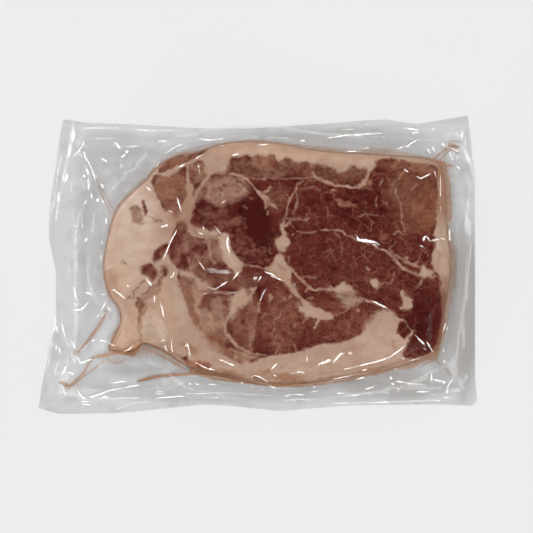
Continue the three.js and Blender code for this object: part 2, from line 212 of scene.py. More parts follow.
# Veins of fat: each point has its place and the vein's width there.
VEINS = [
    # Round the dark oval muscle and along the back.
    [(-18.5, 61.5, 1.7), (-14, 60.5, 2.7), (-10, 59, 2.7), (-6.5, 57, 2.4), (-4, 53, 2.4),
        (-0.5, 49.5, 2.4), (3, 47, 4), (5.5, 43.5, 5.4), (6.5, 39.5, 3.4), (5.5, 37.5, 1.3)],
    [(7.5, 43, 2), (10.5, 39.5, 3.4), (13, 38, 1.7)], [(6.5, 36, 2), (6.5, 34, 2)],
    [(3, 48, 2.4), (7, 49.5, 3), (8.5, 52, 1.3)],
    [(-10, 59, 1), (-4, 58, 1.3), (3, 58, 2), (8.5, 58, 1.7), (15, 58, 1.3), (23, 57.5, 1.3),
        (32, 58, 1.3), (38.5, 59, 0.7)],
    [(36.5, 62, 1), (39, 58, 1.7), (43, 57, 3.4), (47.5, 55.5, 3.7), (52, 53.5, 2.7),
        (58.5, 52.5, 3), (63.5, 52, 4), (67.5, 52, 4), (70, 54, 4), (73, 57, 3.4), (74, 60, 2.7),
        (75, 63, 2.7)],
    # From the knob of fat and the fan below it.
    [(30, 55.5, 1), (27, 54, 2), (26, 51, 2.7), (23.5, 47.5, 2.4), (21.5, 44, 2.4), (20.5, 40, 2),
        (19.5, 36, 2), (18.5, 32, 2), (17, 28.5, 1.7)],
    [(26, 48, 2), (27, 45, 1.7), (26.5, 41.5, 2), (25, 38, 2), (24.5, 34.5, 2), (26, 31.5, 1.3)],
    [(18.5, 31.5, 1.7), (21.5, 30.5, 2.4), (26, 30.5, 1.7), (30, 30, 1.3), (32.5, 30.5, 2.7),
        (34, 31.5, 1.3)],
    [(33, 34.5, 0.7), (33, 31.5, 1.7)],
    [(21.5, 30, 2), (21, 27.5, 3.4), (19, 26, 2.7), (17, 25.5, 2.4)],
    [(21.5, 28, 1.3), (23.5, 26, 1), (25, 24, 0.7)],
    [(16, 27.5, 1.7), (16.5, 24, 2.7), (17.5, 20, 4)], [(22.5, 20, 1.3), (23.5, 21.5, 0.7)],
    [(14.5, 9, 2), (12.5, 5, 2.7), (10.5, 1, 3.4), (7.5, -2, 2.7)],
    [(21, 5, 1.3), (21, 1, 1.7), (21.5, -2, 2), (25, -5.5, 2), (29, -9.5, 2.4), (32, -13, 2.7),
        (36, -16.5, 2.7), (42, -17, 2.4), (50, -17, 2.7), (55.5, -17.5, 4), (59.5, -19, 4),
        (65.5, -21, 3.4), (72, -23, 2.7), (79, -25.5, 2), (86, -30, 1.7), (90, -32, 1.3)],
    # Between the oval and the fan, and round the long wedge.
    [(-14.5, 4.5, 2.4), (-12, 1, 2.7), (-8, -0.5, 2), (-4, 0, 2), (0, -1.5, 2), (4.5, -2.5, 2.4),
        (8.5, -4, 3.4)],
    [(29, -9, 1.7), (34, -8.5, 2), (38.5, -8.5, 1.3)], [(34.5, -15.5, 2), (32.5, -17.5, 2.4)],
    [(34.5, -23, 1.7), (37, -23, 2)], [(41, -36.5, 4), (39, -40.5, 3.4), (38, -43, 1.3)],
    [(34, -34.5, 1.7), (32, -37, 2.4), (31, -39, 1.7)],
    [(81.5, -13.5, 1.7), (85.5, -11.5, 1.7), (89.5, -12.5, 1.3), (91, -9.5, 1.7), (91.5, -6.5, 1.7),
        (92, -3.5, 0.7)],
    # Through the marbled muscle to its right end.
    [(26, 22.5, 1), (28.5, 22.5, 1.7), (32.5, 21.5, 2), (36, 21.5, 1.7), (39, 22.5, 0.7)],
    [(42, 23.5, 0.7), (47.5, 23, 1.3), (52.5, 23.5, 1.7), (56.5, 22.5, 1.3), (60, 20, 1.7),
        (63.5, 18, 2.7), (67.5, 16.5, 2), (73, 15, 2), (78, 13, 2), (82, 11, 2), (85.5, 10, 2.7),
        (89, 7, 2.7), (91.5, 4, 2.7), (94.5, 0.5, 2.7), (97.5, -2.5, 2.7), (101.5, -4.5, 2.4),
        (106.5, -6.5, 2.4), (111, -6.5, 3.4)],
    [(118, -5.5, 2.7), (120.5, -7.5, 2), (124, -11, 1)],
    [(88, 10, 1.3), (91, 12.5, 1.7), (93.5, 16, 0.7)],
    [(89.5, 9, 1.7), (93.5, 6, 2.7), (97, 4, 3.4), (101.5, 5, 1.3)],
    [(97, 4, 2.7), (101, 2.5, 1.3)],
    [(99, 2, 2.7), (103.5, 0, 3.4), (108.5, -1.5, 2.7), (111.5, -2, 2)],
    [(105.5, 0.5, 1), (108.5, 2.5, 1.7), (109, 6, 1.3)],
    [(111, -9.5, 2), (109, -13, 2.4), (106.5, -15.5, 1.3)],
    [(92, 20.5, 1.3), (94.5, 22, 2.7), (97, 21, 1.3)],
    [(98.5, 63.5, 1), (97, 61.5, 2), (94.5, 58, 1.7), (91.5, 55.5, 1.7), (90, 53.5, 1.7),
        (93, 50, 2), (92, 47.5, 1.3), (93.5, 45.5, 1.7), (95.5, 43.5, 2), (96.5, 39.5, 1.7),
        (96.5, 34.5, 1.7), (96.5, 30, 2), (98.5, 26, 1.3), (99, 22.5, 1)],
    [(66.5, 32, 1.3), (69.5, 32.5, 1.3), (73, 34, 1.7), (77, 33.5, 1.3), (84, 32.5, 0.7)],
    [(79.5, 46, 1), (79.5, 43, 2), (80, 39.5, 1.3)], [(50.5, 50, 2), (52.5, 50, 2.4)],
    [(32.5, 51, 1.3), (38, 52, 1.7), (42, 50, 1.3)], [(47.5, 36.5, 1.7), (46.5, 32, 0.7)],
    [(52, 22.5, 0.7), (54.5, 18.5, 1.3), (56, 13, 1.3), (56.5, 6.5, 1.3), (57.5, 2, 0.7)],
    [(49.5, 9, 0.7), (51.5, 4.5, 1)], [(55.5, 0.5, 0.7), (58, -2, 1), (60.5, -5, 0.7)],
    [(69.5, 12.5, 1), (70, 8, 1.3), (73, 4, 1.3)], [(72, -1.5, 2.7), (75, -3.5, 2)],
    [(84, 43.5, 0.7), (86, 41.5, 1.3), (88, 38, 1.3)], [(84, 58, 1.3), (83, 55, 2), (82, 52, 1)],
    [(107.5, 53.5, 1), (105.5, 52, 1.7), (103.5, 50, 1)],
    # In the front muscles.
    [(-19, -34.5, 3), (-22.5, -39.5, 3.4), (-21, -46, 3.7), (-18, -50.5, 3.4), (-14.5, -54, 3),
        (-11, -56.5, 2.4), (-6.5, -58.5, 2.4), (-1, -60, 2), (5.5, -60.5, 1.3)],
    [(-30.5, -35, 1.7), (-30.5, -41, 2.7), (-29.5, -44, 2)],
    [(15.5, -31, 1.7), (14.5, -34.5, 1.7), (11.5, -36.5, 1.3)], [(11.5, -38, 2), (11.5, -40, 1.3)],
    [(11.5, -43, 1.7), (9.5, -47, 1.3)], [(11, -50, 1), (11.5, -54, 1)],
    [(5, -33, 1.7), (3, -36, 1.3)], [(14.5, -54.5, 1), (12.5, -58.5, 1.7), (12.5, -61.5, 2)],
    [(24.5, -53.5, 1), (25, -58, 1.7)], [(25, -40.5, 2), (25, -41, 2)],
    [(21, -46, 1.7), (21.5, -47, 1.7)], [(17.5, -22.5, 1.7), (19.5, -24.5, 1.3), (23, -21, 2)],
    [(8.5, -19.5, 1.3), (8.5, -21.5, 2.7), (7, -25.5, 1.3)], [(66.5, -30.5, 2.7), (67.5, -31, 2.7)],
    [(52.5, -34, 1.3), (56.5, -32.5, 1.3), (60.5, -30.5, 1.7), (64, -27, 2)],
    # In the mixed part on the left, and at the right edge.
    [(-47, 4.5, 1.7), (-45.5, -1, 1.3), (-44, -4.5, 1.3)],
    [(-32, 15, 3.4), (-32.5, 10, 3.4), (-31.5, 4.5, 3.4), (-28.5, 1, 2)],
    [(-43.5, -15, 2), (-42, -20.5, 2.7), (-40, -25, 2.7)],
    [(-30, -18.5, 1.3), (-24, -19, 2.7), (-18.5, -19.5, 3.4)],
    [(112.5, 8.5, 1.7), (114.5, 6, 1.3), (109, 10, 1)],
]
VEIN_WIDTH = 0.54  # drawn width of the veins, as a share of the listed one

# ---- colours of the meat

# Muscle tones as soft ovals laid over each other: middle, half sizes, turn and colour.
MUSCLE_TONES = [
    (62, 0, 44, 26, 0, "#5d2820"), (75, 38, 27, 15, -4, "#501b16"), (4, 66, 30, 8, 0, "#7b5343"),
    (5, 69, 9, 5, 0, "#845847"), (52, 62, 27, 8, 0, "#6c4233"), (104, 45, 19, 28, 0, "#704333"),
    (113, 34, 9, 16, 0, "#7f4f3a"), (88, 67, 10, 5, 0, "#6e3c2f"), (14, 46, 9, 10, 0, "#6f4236"),
    (58.5, 41.5, 7, 2.2, -14, "#855947"), (73, 52, 2.5, 4, 0, "#8a5e4c"),
    (106, 66, 17, 5, -8, "#8b604c"), (110, -34, 15, 26, 0, "#4b1712"),
    (113, -38, 7, 9, 0, "#40100e"), (55, -38, 32, 15, -8, "#6c392c"),
    (15, -38, 15, 25, 0, "#774638"), (-8, -40, 11, 20, 0, "#7d4e41"),
    (-38, -36, 17, 26, 20, "#ab836e"), (-32, -26, 9, 6, 30, "#704538"),
    (-28, -48, 8, 7, 0, "#87604f"), (-43, 6, 17, 15, 0, "#845a4c"), (-40, 10, 7, 5, 0, "#613028"),
    (-49, 3, 5, 6, 0, "#613028"), (-20, -9, 27, 8, -4, "#74493d"), (-58, 52, 16, 14, 40, "#8a5f4b"),
    (-55, 37, 9, 9, 0, "#8a604f"), (-50, 25, 5, 5, 0, "#7d5143"), (-40, 62, 7, 10, 0, "#8c6450"),
    (-52, 71, 18, 6, 20, "#855544"), (-70, -2, 14, 14, 0, "#63322a"), (-81, 34, 6, 8, 0, "#8e604c"),
    (-76.5, 38, 2.5, 8, 5, "#5c2a22"), (-40, -66, 14, 6, 0, "#99684f"),
]

# Muscle tones with a clear edge: colour, softness of the edge, and closed outline.
MUSCLE_PATCHES = [
    ("#4f1a15", 1.2, [(-42, 45), (-35.5, 43.5), (-30.5, 41.5), (-26.5, 39.5), (-23.5, 38),
        (-20, 40.5), (-16.5, 43), (-12, 43.5), (-10, 46), (-4.5, 51), (3, 45), (8.5, 34),
        (11.5, 20), (10.5, 10), (4.5, 0.5), (-6.5, 1), (-16, 7), (-19, 16.5), (-23.5, 24),
        (-32, 25.5), (-38.5, 26.5), (-43.5, 34)]),
    ("#451411", 1.2, [(-12, 43.5), (3, 44), (7, 34), (9.5, 20), (8.5, 2), (-2, 16.5), (-13, 28.5)]),
    ("#6a3b30", 3, [(-33, 27), (-28, 36), (-20, 35), (-17, 26), (-24, 24)]),
    ("#653329", 3, [(-14, 24), (-9, 21), (-3, 10), (2, 3), (-8, 4), (-14, 12)]),
    ("#8b604e", 1.5, [(-54.5, -11), (-50, -16.5), (-46, -33.5), (-42.5, -44), (-37, -46),
        (-40, -33.5), (-45.5, -14), (-51.5, -9.5)]),
    ("#9a7664", 1, [(-40, -36.5), (-36.5, -29.5), (-33.5, -30.5), (-31.5, -37), (-33.5, -44),
        (-38, -42.5)]),
    ("#95715f", 1, [(-30.5, -23), (-24.5, -21.5), (-22.5, -28), (-23, -35.5), (-26, -42.5),
        (-30, -38), (-30.5, -29.5)]),
    ("#7f5040", 0.8, [(-39.5, -26), (-32, -24.5), (-31.5, -29), (-36.5, -29.5), (-39, -28.5)]),
    ("#84543f", 1.2, [(-30.5, -44.5), (-24.5, -47.5), (-21.5, -52), (-23, -55), (-29, -55),
        (-32.5, -52)]),
    ("#96715c", 1.2, [(-34, -52), (-24, -54.5), (-15, -57.5), (-5, -60.5), (4, -61.5), (-4, -65),
        (-15, -66.5), (-26, -62.5)]),
    ("#987260", 2.6, [(-42, 43), (-35.5, 43.5), (-30.5, 41.5), (-26.5, 39.5), (-23.5, 38),
        (-20, 40.5), (-16.5, 43), (-12, 43.5), (-10, 46), (-4.5, 50), (-8, 55.5), (-14.5, 59.5),
        (-24, 61.5), (-33.5, 59.5), (-38.5, 53.5), (-42, 48)]),
]

# Roundish lumps in the dark oval muscle, laid over the patches.
LUMPS = [
    (-34, 34, 5, 6, 20, "#663b30"), (-25, 32, 5, 4, 0, "#5c2f26"), (-15.5, 29, 5, 4, 20, "#6e4035"),
    (-14, 12.5, 4.4, 4.8, 0, "#62332a"), (-6, 5, 4.6, 3.8, 0, "#552620"),
    (1.8, 8.5, 3.2, 4.2, 0, "#572820"), (-12.5, 3.6, 3.6, 2.4, 0, "#643529"),
    (-7.2, 15, 3, 3.4, 0, "#5a2a22"), (-37, 28, 4, 4, 0, "#552720"), (-20, 20, 3, 3, 0, "#64362b"),
    (-28, 58, 6, 2, 0, "#7d5343"), (-36, 49, 3, 5, -20, "#77503f"),
]

# Ovals with their middle, half sizes, turn and share: where fat and muscle run into each other,
# and where the muscle has pale lumps, dark dots, more marbling, and less unevenness.
SOFT_EDGES = [
    (-31, 8, 8, 14, 0, 0.75), (-39, -11, 17, 8, 0, 0.6), (-29, -41, 16, 22, 0, 0.7),
    (-15, -47, 12, 16, 0, 0.45), (-10, -24, 14, 14, 0, 0.5), (60, -24, 14, 7, 0, 0.7),
    (80, -38, 12, 10, 0, 0.7), (52, 64, 30, 6, 0, 0.4), (-2, 70, 24, 6, 0, 0.3),
    (-70, -3, 13, 14, 0, 0.4), (-53, 34, 8, 8, 0, 0.5),
]
LUMPY = [
    (-29, 30, 14, 9, 20, 0.9), (-14, 24, 9, 9, 0, 0.9), (-9, 11, 10, 10, -30, 1),
    (2, 6, 8, 6, 0, 0.8), (-45, 6, 14, 13, 0, 0.5), (-70, -3, 9, 12, 0, 0.3),
    (14, 47, 8, 9, 0, 0.7), (30, -36, 20, 17, 0, 0.4), (12, -45, 14, 15, 0, 0.3),
    (80, -3, 50, 14, -10, 0.25),
]
DOTTED = [
    (-28, 51, 16, 8, 0, 1), (-12, -42, 18, 20, 0, 0.5), (-40, 60, 60, 20, 0, 0.5),
]
NETTED = [
    (14, 47, 9, 10, 0, 0.9), (-40, 6, 14, 12, 0, 0.3),
]
EVEN = [
    (1, 28, 13, 20, -10, 0.75), (-58, 52, 18, 15, 40, 0.35), (-28, 50, 17, 12, 0, 0.5),
    (-38, -36, 19, 28, 20, 0.65), (-8, -40, 12, 22, 0, 0.3), (108, 45, 16, 28, 0, 0.3),
    (112, -38, 12, 22, 0, 0.5),
]

# Fat tones in the same way as the muscles'.
FAT_TONES = [
    (28, 78, 95, 9, -3, "#c8a58d"), (28, -68, 85, 11, -4, "#ba9b86"),
    (86, -54, 21, 14, 15, "#c2a28e"), (-88, 18, 22, 46, -8, "#cbad99"),
    (-83, 33, 14, 22, 0, "#d1b7a5"), (-88, 12, 14, 20, 0, "#cfb3a0"),
    (-94, -8, 12, 14, 0, "#cdad96"), (-78, -42, 14, 17, 0, "#caa68d"),
    (-62, -30, 8, 22, 12, "#c09e86"), (-94, -57, 14, 8, 0, "#b99379"),
    (-70, -40, 8, 11, 20, "#cbad98"), (-73, -46, 6, 5, 0, "#c3a894"),
    (-64, -46, 3, 5, 0, "#c6ac99"), (-76.5, -29, 3, 5, 0, "#a88069"),
    (-80, -34, 2, 10, 0, "#a98470"), (-54, -27, 3, 16, 14, "#c0a591"),
    (-101, -12, 8, 11, 0, "#b8957c"), (-46, -57, 9, 3, -30, "#a9826a"),
    (-30, -73, 22, 3, -8, "#a2765d"), (15, -74, 18, 3, -3, "#aa8068"),
    (-92, -45, 8, 12, 0, "#d3b19a"), (126, 50, 7, 26, 0, "#a97d66"), (127, 10, 8, 22, 0, "#bda08b"),
    (124, -40, 7, 34, 0, "#8d5f4b"), (30, -17, 40, 10, -25, "#b6937d"),
    (-45, 38, 12, 26, -30, "#ab8570"), (-20, 8, 8, 16, 0, "#bf9f8a"),
    (-27, 10, 4, 10, 0, "#a27d69"), (-11, -25, 9, 12, 0, "#bd9c86"), (60, -22, 12, 6, 0, "#ab8a76"),
]

# Painted lines: colour, strength, and points with the line's width at each.
MARKS = [
    ("#966e5b", 0.95, [(-82, 35, 6), (-80.5, 31, 7)]),
    ("#7c5242", 0.8, [(-85.5, 37, 1.5), (-82, 38.5, 2), (-78.5, 37, 2)]),
    ("#7c5242", 0.6, [(-84, 28.5, 1), (-80, 27, 1.5), (-76, 28.5, 1)]),
    ("#6a4030", 0.9, [(-91, 1.5, 2.5), (-89.5, 0.5, 3)]),
    # Darker lines along the fat in the dark oval are painted shade of its folds; a paler streak
    # runs down the middle of the inner fat.
    ("#8d6554", 0.6, [(-31, 18, 2.5), (-30, 12, 3.5), (-27.5, 5, 3), (-23, 0, 2)]),
    ("#cfb39f", 0.6, [(-24, 18, 1.5), (-22.5, 11, 2.5), (-18.5, 4, 2), (-14, -1, 1.5)]),
    ("#8d6554", 0.5, [(-43, 22.5, 1.5), (-36, 19.5, 2), (-31, 19, 2)]),
    ("#8a6350", 0.8, [(-72.5, 32.5, 1.5), (-69, 30.5, 2), (-65.5, 28.5, 1.5)]),
    ("#966c57", 0.75, [(-78, -24, 4), (-73, -19.5, 7), (-68, -17, 7), (-66, -11, 4)]),
    ("#7a4a38", 0.85, [(-88, -23.5, 0.8), (-84.5, -21.5, 1.4), (-82, -17, 1.2), (-79, -13.5, 1.2),
        (-76.5, -11, 1.4)]),
    ("#7a4a38", 0.8, [(-77.5, -20, 1), (-73.5, -16.5, 1.4), (-70, -14, 1.2), (-67, -13, 2),
        (-65.5, -8, 1.5)]),
    ("#754330", 0.95, [(-81, -22, 3), (-79.6, -26.5, 7), (-79.6, -31, 3), (-79.4, -34, 1)]),
    ("#96705b", 0.7, [(-79.6, -31, 2), (-79.4, -38, 1.6), (-79.6, -46, 1.8), (-79.6, -52, 2),
        (-77, -54, 2)]),
    ("#a98570", 0.7, [(-77, -30.5, 0.8), (-71, -27.5, 1)]),
    ("#a98570", 0.6, [(-88, -36, 0.8), (-89, -43, 1.2), (-88.5, -50, 1)]),
    ("#d3b9a7", 0.5, [(-93, -33, 1), (-92.6, -38, 1.6), (-93, -43, 1)]),
    ("#9b7259", 0.6, [(-99, -56, 1.5), (-91, -56.5, 1), (-83, -55, 1)]),
    ("#8a6a58", 0.6, [(-72.5, -34.5, 1), (-72, -35.5, 1)]),
    ("#96725d", 0.6, [(-73, -40, 1), (-69, -42, 1.2)]),
    ("#d8c0b0", 0.7, [(-102, -2, 1.5), (-96, 0, 2), (-89, 2, 2), (-84, 5, 1.5)]),
    ("#7d5141", 0.5, [(13, 1, 1), (18.5, -3.5, 1.5)]),
    ("#7d5141", 0.5, [(17, 6.5, 1), (18.5, 1.5, 1)]),
    ("#b08a6e", 0.6, [(128, 7, 1.5), (128.3, 2, 2.5), (128, -3, 1.5)]),
    ("#a0735a", 0.6, [(127, -9, 2.5), (127.5, -14, 2.5)]),
    ("#a0765f", 0.45, [(121, 14, 1), (122.5, 5, 1.6), (121.5, -2, 1)]),
    ("#4f2019", 0.8, [(-32, 59.5, 1.5), (-26, 60.5, 2), (-20, 59, 1.5)]),
    ("#4f2019", 0.7, [(-13, 56, 2.5), (-8, 53, 3), (-5, 49.5, 2.5)]),
    ("#4f2019", 0.8, [(-42.5, 47, 2), (-41, 52.5, 2), (-37.5, 57, 1.5)]),
    ("#6a4234", 0.8, [(-25, 51, 2.5), (-24, 50.5, 2)]),
    ("#6a4234", 0.8, [(-30, 49.8, 1.6), (-29.5, 49.3, 1.6)]),
    ("#6a4234", 0.8, [(-22.8, 53.4, 2), (-22.2, 53, 2)]),
    ("#6a4234", 0.8, [(-13, 49, 1.6), (-12.4, 48.6, 2)]),
    ("#74493a", 0.7, [(-17, 54, 1.2), (-16.6, 53.6, 1.2)]),
    ("#8d6354", 0.75, [(1.5, -25, 1.5), (-1.5, -34, 2.5), (-3.5, -44, 3), (-5, -52, 3),
        (-6, -58, 2)]),
    ("#b08c77", 0.75, [(2.5, -26, 0.9), (0, -33, 0.7), (-1.5, -42, 0.7), (-4.5, -56, 0.7),
        (-5, -62, 0.6)]),
    ("#a9836f", 0.45, [(-1.5, -28, 0.5), (-4.5, -40, 0.7), (-6, -50, 0.5)]),
    ("#4d211a", 0.95, [(-10, -39, 3.4), (-9.6, -38.8, 3.4)]),
    ("#5a2c23", 0.8, [(-1.3, -42.3, 2.8), (-1, -42.6, 2.8)]),
    ("#5a2c23", 0.8, [(-2.5, -51.3, 3), (-2.2, -51.5, 3)]),
    ("#5f3127", 0.8, [(-6.4, -52.4, 2), (-6, -52, 2)]),
    ("#5f3127", 0.6, [(5.6, -56, 3), (6, -56.4, 3)]),
    ("#7a4f3f", 0.85, [(-7, -14.5, 3.5), (-5.5, -19, 4)]),
    ("#946a58", 0.7, [(-10, 38.8, 0.8), (-7.5, 37.4, 1)]),
    ("#946a58", 0.7, [(-5, 45.4, 1.2), (-3.5, 44.8, 1.2)]),
    ("#946a58", 0.55, [(-19.8, 29.1, 1.2), (-16.5, 28.6, 0.8), (-12.5, 31.6, 0.6),
        (-9.5, 30.8, 1)]),
    ("#946a58", 0.5, [(-14.2, 17.8, 0.7), (-12, 14, 0.9), (-9, 12.5, 0.7)]),
    ("#946a58", 0.6, [(8.2, 13, 1), (8.8, 7, 1)]),
    ("#87594a", 0.65, [(-18.5, 13, 0.8), (-16.8, 16.2, 1), (-13.2, 16.9, 1), (-10.2, 14.6, 0.8)]),
    ("#87594a", 0.6, [(-18, 9.2, 0.8), (-14.5, 7.6, 1), (-11, 8.8, 0.8)]),
    ("#87594a", 0.65, [(-10.2, 6.2, 0.8), (-7.6, 9, 1), (-4, 9.2, 1), (-1.6, 6.6, 0.8)]),
    ("#87594a", 0.6, [(-9.6, 3, 0.8), (-6, 1, 1), (-2.4, 2.2, 0.8)]),
    ("#87594a", 0.6, [(-10.4, 16, 0.8), (-8, 18.8, 1), (-4.8, 17.8, 0.9), (-3.8, 14.4, 0.8)]),
    ("#87594a", 0.6, [(-0.6, 9.4, 0.8), (1.4, 12.4, 1), (4.4, 11, 0.9), (5, 7.4, 0.8)]),
    ("#a3836f", 0.7, [(-84, -68, 3), (-80, -64, 5), (-77, -59, 5)]),
    ("#8c6450", 0.7, [(-97, -66, 2), (-90, -65, 2), (-83, -63, 1.5)]),
    ("#7d4e3b", 0.8, [(-44, -70, 2), (-36, -72, 2.5), (-24, -74, 2), (-12, -77, 2), (-4, -79, 2)]),
    ("#84553f", 0.8, [(-1, -76.5, 3), (4, -79, 3)]),
    ("#84553f", 0.75, [(8, -80, 1.5), (20, -79.5, 1.8), (32, -79, 1.8), (45, -77.5, 1.2)]),
    ("#97684f", 0.6, [(48, -76, 1), (62, -73.5, 1), (80, -71, 1), (95, -66.5, 1)]),
    ("#a3765e", 0.5, [(-30, -69.5, 0.8), (-15, -72.5, 1), (0, -73, 0.8)]),
    ("#cdb3a1", 0.5, [(10, -72, 2.5), (25, -71, 3), (38, -69.5, 2)]),
    ("#9b6d54", 0.6, [(89, -50, 1), (93, -56, 1.2), (92, -61, 1)]),
    ("#a57c66", 0.5, [(58, -58, 1), (66, -56, 1.2), (76, -52, 0.8)]),
]

# ---- creases and juice

